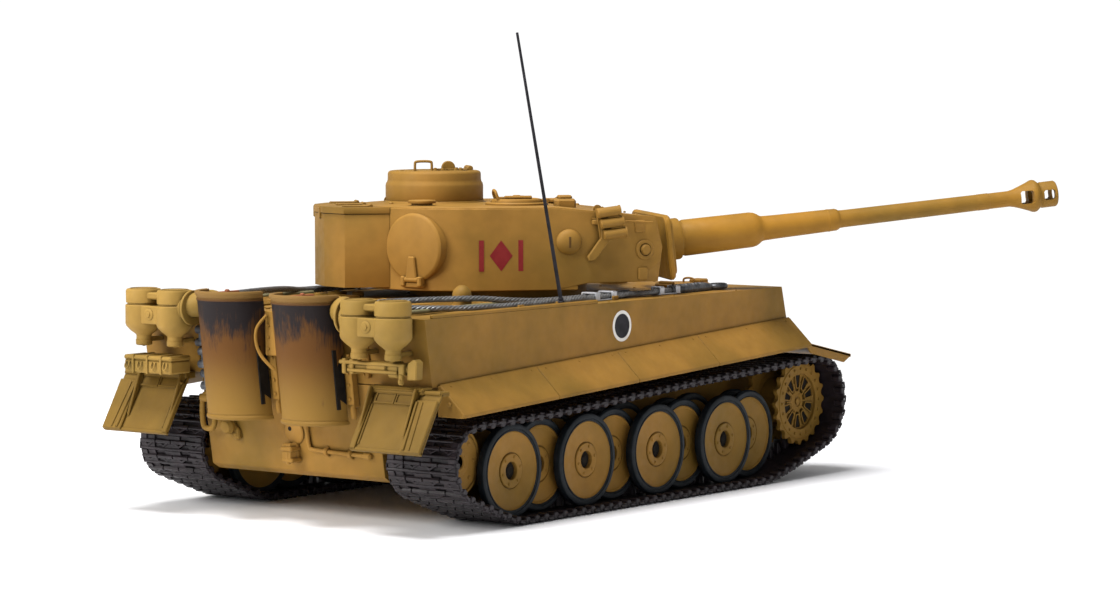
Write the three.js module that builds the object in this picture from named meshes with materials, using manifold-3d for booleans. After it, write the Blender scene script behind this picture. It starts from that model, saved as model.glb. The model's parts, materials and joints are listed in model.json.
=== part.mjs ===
// A 1:24 radio-controlled heavy tank, in millimetres. +X is forward, +Y is the tank's left, +Z is up.
// It is drawn with x = 0 at the rearmost road-wheel axle and z = 0 on the ground, and the last lines
// shift the whole group so that the origin is at the bottom centre of its bounding box.
import * as THREE from 'three';
import { mergeVertices } from 'three/addons/utils/BufferGeometryUtils.js';
import Module from 'manifold-3d';

const wasm = await Module();
wasm.setup();

// Driving dimensions
const GAP = 0.3; // clearance between neighbouring pieces
const RIGHT = -1;
const LEFT = 1;
const SIDES = { right: RIGHT, left: LEFT };

const AXLE_PITCH = 21.46; // 515 mm at full size
const AXLE_COUNT = 8;
const WHEEL_RADIUS = 16.5;
const WHEEL_AXLE_Z = 18.3;
const AXLE_RADIUS = 2.1;
const OUTER_WHEEL_FACE = 67.6;
const INNER_WHEEL_FACE = 63.0;

const IDLER = { x: -24.7, z: 23.2, radius: 12.3, face: 63.7, width: 11.2 };
const SPROCKET = { x: 182, z: 28.2, radius: 16.3, face: 64, teeth: 20 };
const TRACK = { inner: 42.1, outer: 73.8, thickness: 1.5, floor: 1.5 };

const BELLY_Z = 15.3;
const SPLIT_Z = 49.5; // where the upper hull lifts off the lower hull
const DECK_Z = 73.2;
const HULL_HALF_WIDTH = 40;
const SPONSON_HALF_WIDTH = 65.5;
const WALL = 2;
const REAR_TOP_X = -45.1;
const REAR_LEAN = 0.165; // forward run of the rear plate for each mm down from the deck
const NOSE_X = 196;
const DRIVER_PLATE_X = 171.7;

const TURRET_X = 77.04;
const TURRET_YAW = THREE.MathUtils.degToRad(-41.36);
const GUN_ELEVATION = THREE.MathUtils.degToRad(6);
const TURRET = { bottom: 76.6, top: 106.7, halfWidth: 41.5, arcU: -10, wall: 2.5, ring: 33, hole: 34 };
const TRUNNION = { u: 46.5, z: 90.3 };
const CUPOLA = { u: -20.9, v: 17.9, radius: 17.7, top: 118.4 };
const LOADER = { u: 4, v: -17, radius: 9.5 };

const SHROUD = { y: 17.3, radius: 12.9, topZ: 80.4, bottomZ: 35.5, topX: -49, bottomX: -43.3, wall: 1.1 };
const FILTER = { x: -52, outerY: 57.5, innerY: 42.5, topZ: 79.5, radius: 6.5 };

const TAN = 0xb08436;
const PALE_TAN = 0xb89a4e;
const RUBBER = 0x2b3138;
const TRACK_BROWN = 0x3c3236;
const STEEL = 0x8b8f92;

// Geometry helpers: every shape ends as one closed body with shared vertices and outward faces.

// Six times the volume inside a closed mesh, negative when its faces point in.
function signedVolume(positions, index) {
  const [a, b, c] = [new THREE.Vector3(), new THREE.Vector3(), new THREE.Vector3()];
  let total = 0;
  for (let i = 0; i < index.length; i += 3) {
    a.fromBufferAttribute(positions, index[i]);
    b.fromBufferAttribute(positions, index[i + 1]);
    c.fromBufferAttribute(positions, index[i + 2]);
    total += a.dot(b.cross(c));
  }
  return total;
}

// Merges shared vertices, drops triangles that have no area and turns the faces outward.
function closed(geometry) {
  geometry.deleteAttribute('normal');
  geometry.deleteAttribute('uv');
  const merged = mergeVertices(geometry, 1e-3);
  const index = [];
  for (let i = 0; i < merged.index.count; i += 3) {
    const [a, b, c] = [0, 1, 2].map((k) => merged.index.getX(i + k));
    if (a !== b && b !== c && c !== a) index.push(a, b, c);
  }
  if (signedVolume(merged.attributes.position, index) < 0) index.reverse();
  merged.setIndex(index);
  return merged;
}

function toSolid(geometry) {
  const tidy = closed(geometry);
  const vertProperties = new Float32Array(tidy.attributes.position.array);
  const triVerts = new Uint32Array(tidy.index.array);
  return new wasm.Manifold(new wasm.Mesh({ numProp: 3, vertProperties, triVerts }));
}

function toGeometry(solid) {
  const mesh = solid.getMesh();
  const geometry = new THREE.BufferGeometry();
  geometry.setAttribute('position', new THREE.BufferAttribute(new Float32Array(mesh.vertProperties), 3));
  geometry.setIndex([...mesh.triVerts]);
  return geometry;
}

function join(first, ...others) {
  return toGeometry(others.reduce((solid, other) => solid.add(toSolid(other)), toSolid(first)));
}

function cut(first, ...tools) {
  return toGeometry(tools.reduce((solid, tool) => solid.subtract(toSolid(tool)), toSolid(first)));
}

// The world directions of a section's first axis, its second axis and the way it is extruded.
const PLANES = {
  xy: [[1, 0, 0], [0, 1, 0], [0, 0, 1]],
  xz: [[1, 0, 0], [0, 0, 1], [0, -1, 0]],
  yz: [[0, 1, 0], [0, 0, 1], [1, 0, 0]],
};

// A section drawn in one world plane and extruded across it from one coordinate to the other.
function prism(plane, outline, from, to) {
  const shape = outline instanceof THREE.Shape
    ? outline
    : new THREE.Shape(outline.map(([a, b]) => new THREE.Vector2(a, b)));
  const geometry = new THREE.ExtrudeGeometry(shape, {
    depth: Math.abs(to - from), bevelEnabled: false, curveSegments: 8,
  });
  const axes = PLANES[plane].map((axis) => new THREE.Vector3(...axis));
  geometry.applyMatrix4(new THREE.Matrix4().makeBasis(...axes));
  const start = plane === 'xz' ? Math.max(from, to) : Math.min(from, to);
  const offset = new THREE.Vector3().addScaledVector(axes[2], plane === 'xz' ? -start : start);
  return geometry.translate(offset.x, offset.y, offset.z);
}

function block([x0, x1], [y0, y1], [z0, z1]) {
  const geometry = new THREE.BoxGeometry(x1 - x0, y1 - y0, z1 - z0);
  return geometry.translate((x0 + x1) / 2, (y0 + y1) / 2, (z0 + z1) / 2);
}

// A round solid from [radius, distance along the axis] points, with its axis along x, y or z.
function turned(axis, profile, segments = 20) {
  const geometry = new THREE.LatheGeometry(profile.map(([r, a]) => new THREE.Vector2(r, a)), segments);
  if (axis === 'x') geometry.rotateZ(-Math.PI / 2);
  if (axis === 'z') geometry.rotateX(Math.PI / 2);
  return geometry;
}

function rod(axis, radius, from, to, segments = 12) {
  return turned(axis, [[0, from], [radius, from], [radius, to], [0, to]], segments);
}

function ring(axis, inner, outer, from, to, segments = 24) {
  return turned(axis, [[inner, from], [outer, from], [outer, to], [inner, to], [inner, from]], segments);
}

// A round bar of the given radius along a smooth curve through the points.
function bar(points, radius, steps, sides = 8) {
  const section = new THREE.Shape();
  section.absarc(0, 0, radius, 0, Math.PI * 2);
  const path = new THREE.CatmullRomCurve3(points.map((point) => new THREE.Vector3(...point)));
  return new THREE.ExtrudeGeometry(section, { extrudePath: path, steps, curveSegments: sides / 2 });
}

const group = new THREE.Group();

function addMesh(parent, name, geometry, color, roughness = 0.62, metalness = 0) {
  const mesh = new THREE.Mesh(closed(geometry), new THREE.MeshStandardMaterial({ color, roughness, metalness }));
  mesh.name = name;
  parent.add(mesh);
  return mesh;
}

// A left-hand shape is drawn once, and scaled by -1 across the centre plane for the right-hand copy.
const sided = (geometry, side) => geometry.scale(1, side, 1);

// The x of the leaning rear plate at a height.
const rearX = (z) => REAR_TOP_X + (DECK_Z - z) * REAR_LEAN;

// Points along an arc, angles in degrees from +X in the section plane.
function arc(cx, cz, radius, from, to, steps) {
  return Array.from({ length: steps + 1 }, (_, i) => {
    const angle = THREE.MathUtils.degToRad(from + ((to - from) * i) / steps);
    return [cx + radius * Math.cos(angle), cz + radius * Math.sin(angle)];
  });
}

// Running gear

// Two rubber-tyred discs on one hub, with a blind bore for the axle. The outer wheels straddle the inner.
function outerWheel() {
  return turned('y', [
    [0, 0], [WHEEL_RADIUS, 0], [WHEEL_RADIUS, -3.4], [4.2, -3.4], [4.2, -15.6],
    [WHEEL_RADIUS, -15.6], [WHEEL_RADIUS, -18.6], [AXLE_RADIUS + GAP, -18.6], [AXLE_RADIUS + GAP, -8], [0, -8],
  ]);
}

function innerWheel() {
  return turned('y', [
    [0, 0], [WHEEL_RADIUS, 0], [WHEEL_RADIUS, -9.2], [AXLE_RADIUS + GAP, -9.2], [AXLE_RADIUS + GAP, -4], [0, -4],
  ]);
}

const isOuterAxle = (index) => index % 2 === 0;

function addRoadWheels(sideName, side) {
  for (let index = 0; index < AXLE_COUNT; index += 1) {
    const outer = isOuterAxle(index);
    const face = outer ? OUTER_WHEEL_FACE : INNER_WHEEL_FACE;
    const geometry = outer ? outerWheel() : innerWheel();
    geometry.translate(index * AXLE_PITCH, face, WHEEL_AXLE_Z);
    addMesh(group, `road_wheel_${sideName}_${index + 1}`, sided(geometry, side), TAN);
  }
}

// A closed disc wheel at the rear with a blind bore, which the track turns round.
function idler() {
  const { x, z, radius, face, width } = IDLER;
  const bore = AXLE_RADIUS + GAP;
  const profile = [[0, 0], [radius, 0], [radius, -width], [bore, -width], [bore, -4], [0, -4]];
  return turned('y', profile).translate(x, face, z);
}

// One ring of pointed teeth round a disc.
function toothedDisc(from, to) {
  const { radius, teeth } = SPROCKET;
  const outline = [];
  for (let i = 0; i < teeth; i += 1) {
    for (const [part, r] of [[0, radius], [0.3, radius - 2.2], [0.7, radius - 2.2]]) {
      const angle = ((i + part) / teeth) * Math.PI * 2;
      outline.push([r * Math.cos(angle), r * Math.sin(angle)]);
    }
  }
  return prism('xz', outline, from, to);
}

// Two toothed rings on a drum, with the final-drive shaft that runs into the hull.
function sprocket() {
  const { x, z, face } = SPROCKET;
  const drum = rod('y', 9, face - 14, face - 1, 16);
  const shaft = rod('y', 2.5, 31, face - 10);
  return join(drum, toothedDisc(face - 2.6, face), toothedDisc(face - 15, face - 12.4), shaft).translate(x, 0, z);
}

// The track's path, seen from the left, as the inside line that the wheels run on.
function trackPath(offset) {
  const nose = { x: 183.5, z: 28.3, radius: 16.8 };
  return [
    ...arc(nose.x, nose.z, nose.radius + offset, -70, 88, 11),
    [141.6, 43.25 + offset], [102.7, 41.6 + offset], [60, 39.1 + offset], [18.5, 36.8 + offset],
    ...arc(IDLER.x, IDLER.z, 12.7 + offset, 92, 246, 10),
    [-3, TRACK.floor - offset], [151, TRACK.floor - offset], [168, 5.7 - offset],
  ];
}

function track() {
  const band = prism('xz', trackPath(TRACK.thickness), TRACK.inner, TRACK.outer);
  return cut(band, prism('xz', trackPath(0), TRACK.inner - 1, TRACK.outer + 1));
}

// Hull

const LOWER_OUTLINE = [
  [rearX(BELLY_Z) + 3, BELLY_Z], [184, BELLY_Z], [186.5, BELLY_Z + 2], [NOSE_X, 38], [192.2, SPLIT_Z],
  [rearX(SPLIT_Z), SPLIT_Z], [rearX(BELLY_Z + 2), BELLY_Z + 2],
];
const LOWER_CAVITY = [
  [-33, BELLY_Z + WALL], [183.4, BELLY_Z + WALL], [NOSE_X - 2.5, 38.4], [189.8, SPLIT_Z + 1], [-38.4, SPLIT_Z + 1],
];
const SHAFT_HOLE = 2.9;

// An open tub with a fixed axle stub for each wheel and holes for the two final-drive shafts.
function lowerHull() {
  const tub = cut(
    prism('xz', LOWER_OUTLINE, -HULL_HALF_WIDTH, HULL_HALF_WIDTH),
    prism('xz', LOWER_CAVITY, WALL - HULL_HALF_WIDTH, HULL_HALF_WIDTH - WALL),
    rod('y', SHAFT_HOLE, -HULL_HALF_WIDTH - 1, HULL_HALF_WIDTH + 1).translate(SPROCKET.x, 0, SPROCKET.z),
  );
  const stubs = [];
  for (const side of Object.values(SIDES)) {
    for (let index = 0; index < AXLE_COUNT; index += 1) {
      const reach = isOuterAxle(index) ? OUTER_WHEEL_FACE - 8 - GAP : INNER_WHEEL_FACE - 4 - GAP;
      const stub = rod('y', AXLE_RADIUS, HULL_HALF_WIDTH - 1, reach, 10);
      stubs.push(sided(stub.translate(index * AXLE_PITCH, 0, WHEEL_AXLE_Z), side));
    }
    const idlerStub = rod('y', AXLE_RADIUS, HULL_HALF_WIDTH - 1, IDLER.face - 4 - GAP, 10);
    stubs.push(sided(idlerStub.translate(IDLER.x, 0, IDLER.z), side));
  }
  return join(tub, ...stubs, muffler(LEFT), muffler(RIGHT), towHitch());
}

// Leans an upright shape to follow the exhaust shrouds, whose axis runs down and forward.
function leaned(geometry) {
  const { topZ, bottomZ, topX, bottomX } = SHROUD;
  const run = (topX - bottomX) / (topZ - bottomZ);
  const lean = new THREE.Matrix4().set(1, 0, run, bottomX - run * bottomZ, 0, 1, 0, 0, 0, 0, 1, 0, 0, 0, 0, 1);
  return geometry.applyMatrix4(lean);
}

// The silencer inside each shroud, standing on the rear plate's bracket.
function muffler(side) {
  const can = leaned(rod('z', 5.4, 40, 78.5, 12).translate(-3.2, SHROUD.y, 0));
  const bracket = block([-47, rearX(44) + 1.5], [SHROUD.y - 4, SHROUD.y + 4], [40, 44]);
  return sided(join(can, bracket), side);
}

function towHitch() {
  return block([-41.5, rearX(26) + 1], [-2, 2], [20.5, 27]);
}

const BATTERY_HATCH = { x0: -34, x1: 4.6, halfWidth: 17.6 };

// The superstructure: deck, side plates, rear plate, sponson floors and the sloping front.
function upperHull() {
  const sponson = [
    [rearX(50), 50], [DRIVER_PLATE_X, 60.6], [168.4, DECK_Z], [REAR_TOP_X, DECK_Z],
  ];
  const centre = [
    [rearX(SPLIT_Z + GAP), SPLIT_Z + GAP], [192.1, SPLIT_Z + GAP], [DRIVER_PLATE_X, 57.5], [169, 70], [-40, 70],
  ];
  const sponsonCavity = [
    [rearX(52) + WALL, 52.1], [DRIVER_PLATE_X - WALL, 62.6], [166.6, DECK_Z - WALL], [REAR_TOP_X + 2.5, DECK_Z - WALL],
  ];
  const centreCavity = [
    [rearX(SPLIT_Z) + WALL, SPLIT_Z - 1], [187, SPLIT_Z - 1], [168, 57], [168, 66], [-40, 66],
  ];
  const inside = HULL_HALF_WIDTH - WALL;
  return cut(
    join(
      prism('xz', sponson, -SPONSON_HALF_WIDTH, SPONSON_HALF_WIDTH),
      prism('xz', centre, -HULL_HALF_WIDTH, HULL_HALF_WIDTH),
    ),
    prism('xz', sponsonCavity, WALL - SPONSON_HALF_WIDTH, SPONSON_HALF_WIDTH - WALL),
    prism('xz', centreCavity, -inside, inside),
    rod('z', TURRET.hole, DECK_Z - 5, DECK_Z + 1, 32).translate(TURRET_X, 0, 0),
    block([BATTERY_HATCH.x0, BATTERY_HATCH.x1], [-BATTERY_HATCH.halfWidth, BATTERY_HATCH.halfWidth], [60, 80]),
  );
}

// The lid over the battery bay: a plate in the deck's opening with a hinge lip on its left edge.
function batteryHatch() {
  const { x0, x1, halfWidth } = BATTERY_HATCH;
  const plate = block([x0 + GAP, x1 - GAP], [GAP - halfWidth, halfWidth - GAP], [DECK_Z - 1.8, DECK_Z]);
  const hinge = rod('x', 0.9, x0 + 4, x1 - 4, 8).translate(0, halfWidth - 0.4, DECK_Z + 0.9 + GAP / 2);
  const lip = block([x0 + 4, x1 - 4], [halfWidth - 3, halfWidth - 0.4], [DECK_Z - 0.5, DECK_Z + 1]);
  return join(plate, lip, hinge);
}

// Parallel section of the sloping track guard below the sponson; it rises towards the front.
function skirt() {
  const rise = 0.05;
  const section = [[65.8, 52.6], [65.8, 51.0], [76.2, 41.9], [77, 41.9], [77, 43.1], [66.9, 52.6]];
  const shear = new THREE.Matrix4().set(1, 0, 0, 0, 0, 1, 0, 0, rise, 0, 1, 0, 0, 0, 0, 1);
  return prism('yz', section, -38, 172).applyMatrix4(shear);
}

function frontMudguard() {
  const section = [[172.6, 50.9], [173.4, 51.9], [204, 45.5], [203.8, 44.3]];
  return prism('xz', section, 43, 74);
}

function rearMudguard() {
  const top = rearX(48.5) - GAP;
  const section = [[top, 49.3], [top, 47.9], [-45, 47.6], [-56.4, 28.5], [-57.5, 29.2], [-45.9, 49.3]];
  return prism('xz', section, 42.3, 73.2);
}

// A sheet-steel half tube that leans with the rear plate, open towards the hull.
function exhaustShroud() {
  const { y, radius, wall, topZ, bottomZ } = SHROUD;
  const outer = arc(0, y, radius, 90, 270, 12);
  const inner = arc(0, y, radius - wall, 270, 90, 12);
  return leaned(prism('xy', [...outer, ...inner], bottomZ, topZ));
}

// Twin canisters with conical bottoms, joined by a web and standing off the rear plate on a duct.
function airFilter() {
  const { x, outerY, innerY, topZ, radius } = FILTER;
  const canister = (y) => turned('z', [
    [0, topZ - 20], [2.8, topZ - 20], [3.2, topZ - 14.5], [radius, topZ - 9.5], [radius, topZ - 1], [5.4, topZ],
    [0, topZ],
  ], 16).translate(x, y, 0);
  const web = block([x - 2.6, x + 2.6], [innerY, outerY], [topZ - 10, topZ - 4]);
  const duct = rod('x', 2.3, x, rearX(66) - 1.2, 10).translate(0, (outerY + innerY) / 2, topZ - 8);
  return join(canister(outerY), canister(innerY), web, duct);
}

function stowageBox() {
  return join(
    block([-57, -46.6], [40, 62.5], [50, 56.2]),
    block([-53, -44.2], [44, 58], [51, 54]),
  );
}

// Screw jack lying across the rear plate above the right mudguard.
function jack() {
  const lying = rod('y', 2.2, -66, -32, 10).translate(-48.2, 0, 56.5);
  const head = block([-51.2, -45.2], [-56, -50], [53.5, 59]);
  const strap = block([-48.2, rearX(56) - GAP], [-41, -38], [55, 58]);
  return join(lying, head, strap);
}

const CABLE = { radius: 1, z: 74.6 };

// A braided cable clipped along the deck edge, doubled back in a loop at its rear end.
function towCable() {
  const route = [
    [140, 55.5, CABLE.z], [110, 56, CABLE.z], [80, 56.4, CABLE.z], [50, 57.5, CABLE.z], [20, 58.5, CABLE.z],
    [-6, 56.5, 74.7], [-25, 49.5, 75.2], [-36, 42, 76.2], [-39.5, 38.4, 76.9], [-36.5, 35.6, 77.1],
    [-28, 36.5, 77.2], [-10, 41, 77.1], [8, 45.5, 76.6], [22, 49, 75.4], [36, 51.6, CABLE.z],
    [58, 53.2, CABLE.z], [80, 53.6, CABLE.z],
  ];
  return bar(route, CABLE.radius, 60, 6);
}

const ANTENNA = { x: 34.5, y: -62.4, lean: 0.262, length: 96 };

function antenna() {
  const { x, y, lean, length } = ANTENNA;
  const mast = turned('z', [[0, 0], [1.6, 0], [1.6, 2.4], [0.8, 3.4], [0.45, length], [0, length]], 10);
  const reach = Math.tan(lean);
  const tilt = new THREE.Matrix4().set(1, 0, -reach, x, 0, 1, 0, y, 0, 0, 1, DECK_Z + GAP, 0, 0, 0, 1);
  return mast.applyMatrix4(tilt);
}

// Turret, drawn with u forward and v left from its axis

const turret = new THREE.Group();
turret.position.x = TURRET_X;
turret.rotation.z = TURRET_YAW;
group.add(turret);

// The horseshoe plan of the wall: a round rear, flat sides and a slight taper to the front.
function turretPlan(inset) {
  const width = TURRET.halfWidth - inset;
  const rear = arc(TURRET.arcU, 0, width, 90, 270, 16);
  const front = [[26, -width], [40, 2.2 - width], [60, 7.5 - width]];
  return [...rear, ...front, ...front.map(([u, v]) => [u, -v]).reverse()];
}

// The wall with its roof and floor, cut to a pointed nose, and the ring that turns in the deck.
function turretShell() {
  const { bottom, top, wall, ring: ringRadius } = TURRET;
  const noseCut = [[51, top + 1], [51, top], [54.6, 91.6], [52.6, bottom + 2], [52.6, 60], [70, 60], [70, top + 1]];
  const roofSlope = [[14, top], [70, top - 6], [70, top + 9], [14, top + 9]];
  const raisedFront = [[22, 60], [70, 60], [70, bottom + 2.4], [22, bottom + 2.4]];
  const walls = cut(
    prism('xy', turretPlan(0), bottom, top),
    prism('xy', turretPlan(wall), bottom + 3.8, top - 3.6),
    prism('xz', noseCut, -60, 60),
    prism('xz', roofSlope, -60, 60),
    prism('xz', raisedFront, -60, 60),
    block([40, 70], [-29.5, 29.5], [70, 110]),
    rod('y', 3.6, -33, 33).translate(TRUNNION.u, 0, TRUNNION.z),
  );
  const spigot = ring('z', 0.1, ringRadius, 66, bottom + 2, 32);
  const hatchHoles = [
    rod('z', CUPOLA.radius - 3, top - 6, top + 3).translate(CUPOLA.u, CUPOLA.v, 0),
    rod('z', LOADER.radius - 1.5, top - 6, top + 3).translate(LOADER.u, LOADER.v, 0),
  ];
  return cut(join(walls, spigot), rod('z', ringRadius - 3, 60, bottom + 4, 32), ...hatchHoles);
}

// Stowage bin wrapped on the turret's rear, with a bowed back plate.
function storageBin() {
  const reach = TURRET.halfWidth + GAP;
  const plan = [
    [-46, 24], [-60.5, 22.8], [-66.5, 12], [-68.4, 0], [-66.5, -12], [-60.5, -22.8], [-46, -24],
    [-46, -12], [-49, 0], [-46, 12],
  ];
  const box = prism('xy', plan, 77.4, 106.4);
  return cut(box, rod('z', reach, 70, 110, 32).translate(TURRET.arcU, 0, 0));
}

function cupola() {
  const { u, v, radius, top } = CUPOLA;
  const base = TURRET.top + GAP;
  const profile = [
    [radius - 3, base], [radius, base], [radius, top - 5], [radius - 0.7, top - 4], [radius - 1, top],
    [11.8, top], [11.8, top - 1.6], [radius - 3, top - 1.6], [radius - 3, base],
  ];
  return turned('z', profile, 24).translate(u, v, 0);
}

// Lid inside the cupola's rim, with a lug at its front for the hinge.
function commanderHatch() {
  const { u, v, top } = CUPOLA;
  const lid = rod('z', 11.5, top - 1.3, top - 0.1, 24);
  const handle = block([-6, 4], [-1, 1], [top - 0.3, top + 1.2]);
  const lug = block([8, 14], [-2, 2], [top + 0.3, top + 1.5]);
  const arm = block([8, 10.5], [-2, 2], [top - 0.5, top + 1.5]);
  return join(lid, handle, lug, arm).translate(u, v, 0);
}

function loaderHatch() {
  const { u, v, radius } = LOADER;
  const base = TURRET.top + GAP;
  const lid = rod('z', radius, base, base + 1.4, 20);
  const lug = block([radius - 1.5, radius + 2], [-3, 3], [base, base + 2]);
  return join(lid, lug).translate(u, v, 0);
}

// Three short tubes on a bracket, outside each front quarter of the wall.
function smokeLauncher() {
  const foot = TURRET.halfWidth + GAP;
  const bracket = block([24, 30.2], [foot, foot + 3], [94, 103]);
  const tubes = [0, 1, 2].map((i) => rod('x', 1.8, 28.7 + i, 36.7 + i, 10).translate(0, foot + 3.2, 104.4 - i * 4));
  const backing = block([28.7, 31.7], [foot + 1, foot + 3.5], [94, 106]);
  return join(bracket, backing, ...tubes);
}

const gun = new THREE.Group();
gun.position.set(TRUNNION.u, 0, TRUNNION.z);
gun.rotation.y = -GUN_ELEVATION;
turret.add(gun);

// Shield plate ahead of the turret's nose, carried on arms by the trunnion bar.
function mantlet() {
  const shield = block([9.6, 14.8], [-29, 29], [-13, 11]);
  const arms = block([-3, 10], [-9, 9], [-7, 7]);
  return join(shield, arms, rod('y', 3, -32.4, 32.4));
}

// The barrel in three steps with a double-baffle muzzle brake, along x from the trunnion.
function gunBarrel() {
  const barrel = turned('x', [
    [0, 15.1], [7.9, 15.1], [7.9, 20.5], [7.2, 21.5], [7.2, 24], [6.8, 24.6], [6.45, 54], [5, 55.4],
    [4.6, 56.2], [4.15, 84.6], [3.3, 85.4], [3, 153], [3.5, 154.8], [5.5, 160.2], [6.2, 161.8], [6.2, 162.8],
    [4.8, 164.2], [4.9, 165], [4.9, 171], [2.6, 171], [2.6, 156], [0, 156],
  ], 18);
  const ports = [[157.4, 160.4], [165.6, 169.6]].map((reach) => block(reach, [-8, 8], [-1.7, 1.7]));
  return cut(barrel, ...ports);
}

// Inside the hull

const DRIVE = { gearRadius: 5.1, pinionX: 176.1, pinionZ: 33, pinionRadius: 2.3, shaftRadius: 1 };

function driveMotor() {
  const { pinionX, pinionZ, shaftRadius } = DRIVE;
  const can = rod('y', 6, 6, 29, 16).translate(pinionX, 0, pinionZ);
  const shaft = rod('y', shaftRadius, 28, 36, 8).translate(pinionX, 0, pinionZ);
  const foot = block([pinionX - 6, pinionX + 2], [8, 27], [25, 32]);
  return join(can, shaft, foot);
}

function drivePinion() {
  const { pinionX, pinionZ, pinionRadius, shaftRadius } = DRIVE;
  return ring('y', shaftRadius + GAP, pinionRadius, 32, 36, 10).translate(pinionX, 0, pinionZ);
}

function driveGear() {
  return ring('y', 2.5 + GAP, DRIVE.gearRadius, 32, 36, 20).translate(SPROCKET.x, 0, SPROCKET.z);
}

const TURRET_DRIVE = { pinionRadius: 5, x: TURRET_X - (TURRET.ring - 3) + 5.4 };

function turretMotor() {
  const can = rod('z', 7, 20, 62, 16);
  const foot = block([-9, 9], [-9, 9], [BELLY_Z + WALL + GAP, 22]);
  return join(can, rod('z', 1, 60, 70, 8), foot).translate(TURRET_DRIVE.x, 0, 0);
}

function turretPinion() {
  return ring('z', 1 + GAP, TURRET_DRIVE.pinionRadius, 66.4, 70, 12).translate(TURRET_DRIVE.x, 0, 0);
}

function controlBoard() {
  const floor = BELLY_Z + WALL + GAP;
  const board = block([72, 138], [-26, 26], [floor + 3, floor + 4.6]);
  const chips = [[80, -14], [98, 4], [118, -8], [124, 14]].map(([x, y]) => (
    block([x, x + 9], [y, y + 9], [floor + 4, floor + 7])
  ));
  const posts = [[76, -22], [132, -22], [76, 20], [132, 20]].map(([x, y]) => (
    block([x, x + 3], [y, y + 3], [floor, floor + 4])
  ));
  return join(board, ...chips, ...posts);
}

const SWITCH = { x: 20, y: 33, z: BELLY_Z };

// The slider of the power switch, in a slot through the belly near the left side.
function powerSwitch() {
  const { x, y, z } = SWITCH;
  return join(
    block([x - 2, x + 2], [y - 1.5, y + 1.5], [z - 0.8, z + 3]),
    block([x - 5, x + 5], [y - 3, y + 3], [z + WALL + GAP, z + WALL + 2]),
  );
}

function addRunningGear() {
  for (const [sideName, side] of Object.entries(SIDES)) {
    addRoadWheels(sideName, side);
    addMesh(group, `idler_wheel_${sideName}`, sided(idler(), side), TAN);
    addMesh(group, `drive_sprocket_${sideName}`, sided(sprocket(), side), TAN);
    addMesh(group, `track_${sideName}`, sided(track(), side), TRACK_BROWN, 0.5);
  }
}

function addHull() {
  const switchSlot = block([SWITCH.x - 4.5, SWITCH.x + 4.5], [SWITCH.y - 1.9, SWITCH.y + 1.9], [10, 20]);
  addMesh(group, 'lower_hull', cut(lowerHull(), switchSlot), TAN);
  addMesh(group, 'upper_hull', upperHull(), TAN);
  addMesh(group, 'battery_hatch', batteryHatch(), TAN);
  for (const [sideName, side] of Object.entries(SIDES)) {
    addMesh(group, `side_skirt_${sideName}`, sided(skirt(), side), TAN);
    addMesh(group, `front_mudguard_${sideName}`, sided(frontMudguard(), side), PALE_TAN);
    addMesh(group, `rear_mudguard_${sideName}`, sided(rearMudguard(), side), PALE_TAN);
    addMesh(group, `exhaust_shroud_${sideName}`, sided(exhaustShroud(), side), TAN);
    addMesh(group, `air_filter_${sideName}`, sided(airFilter(), side), PALE_TAN);
    addMesh(group, `tow_cable_${sideName}`, sided(towCable(), side), STEEL, 0.4, 0.8);
  }
  addMesh(group, 'stowage_box', stowageBox(), PALE_TAN);
  addMesh(group, 'jack', jack(), PALE_TAN);
  addMesh(group, 'antenna', antenna(), RUBBER);
}

function addTurret() {
  addMesh(turret, 'turret_shell', turretShell(), TAN);
  addMesh(turret, 'storage_bin', storageBin(), TAN);
  addMesh(turret, 'cupola', cupola(), TAN);
  addMesh(turret, 'commander_hatch', commanderHatch(), TAN);
  addMesh(turret, 'loader_hatch', loaderHatch(), TAN);
  for (const [sideName, side] of Object.entries(SIDES)) {
    addMesh(turret, `smoke_launcher_${sideName}`, sided(smokeLauncher(), side), PALE_TAN);
  }
  addMesh(gun, 'mantlet', mantlet(), TAN);
  addMesh(gun, 'gun_barrel', gunBarrel(), TAN);
}

function addInternals() {
  for (const [sideName, side] of Object.entries(SIDES)) {
    addMesh(group, `drive_motor_${sideName}`, sided(driveMotor(), side), STEEL, 0.4, 0.8);
    addMesh(group, `drive_pinion_${sideName}`, sided(drivePinion(), side), 0xc9a227, 0.4, 0.8);
    addMesh(group, `drive_gear_${sideName}`, sided(driveGear(), side), 0xe8e4d8);
  }
  addMesh(group, 'turret_motor', turretMotor(), STEEL, 0.4, 0.8);
  addMesh(group, 'turret_pinion', turretPinion(), 0xe8e4d8);
  addMesh(group, 'control_board', controlBoard(), 0x1f5a34);
  const battery = block([-32, 3], [-16, 16], [BELLY_Z + WALL + GAP, 60]);
  addMesh(group, 'battery_pack', battery, 0x2c4f9e);
  addMesh(group, 'power_switch', powerSwitch(), RUBBER);
}

addRunningGear();
addHull();
addTurret();
addInternals();

group.updateMatrixWorld(true);
const bounds = new THREE.Box3().setFromObject(group, true);
const centre = bounds.getCenter(new THREE.Vector3());
group.position.set(-centre.x, -centre.y, -bounds.min.z);
group.updateMatrixWorld(true);

export default group;
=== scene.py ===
"""The finished surfaces of a 1:24 radio-controlled tank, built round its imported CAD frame.

Shapes are drawn in millimetres in the tank's own drawing frame: x = 0 at the rearmost road-wheel axle,
y = 0 on the centre plane with +Y to the left, z = 0 on the ground. HULL, TURRET and GUN are the matrices
that carry those drawings to their places on the frame, in metres.
"""
import json
import math
import random

import bmesh
import bpy
from mathutils import Matrix, Vector

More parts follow.
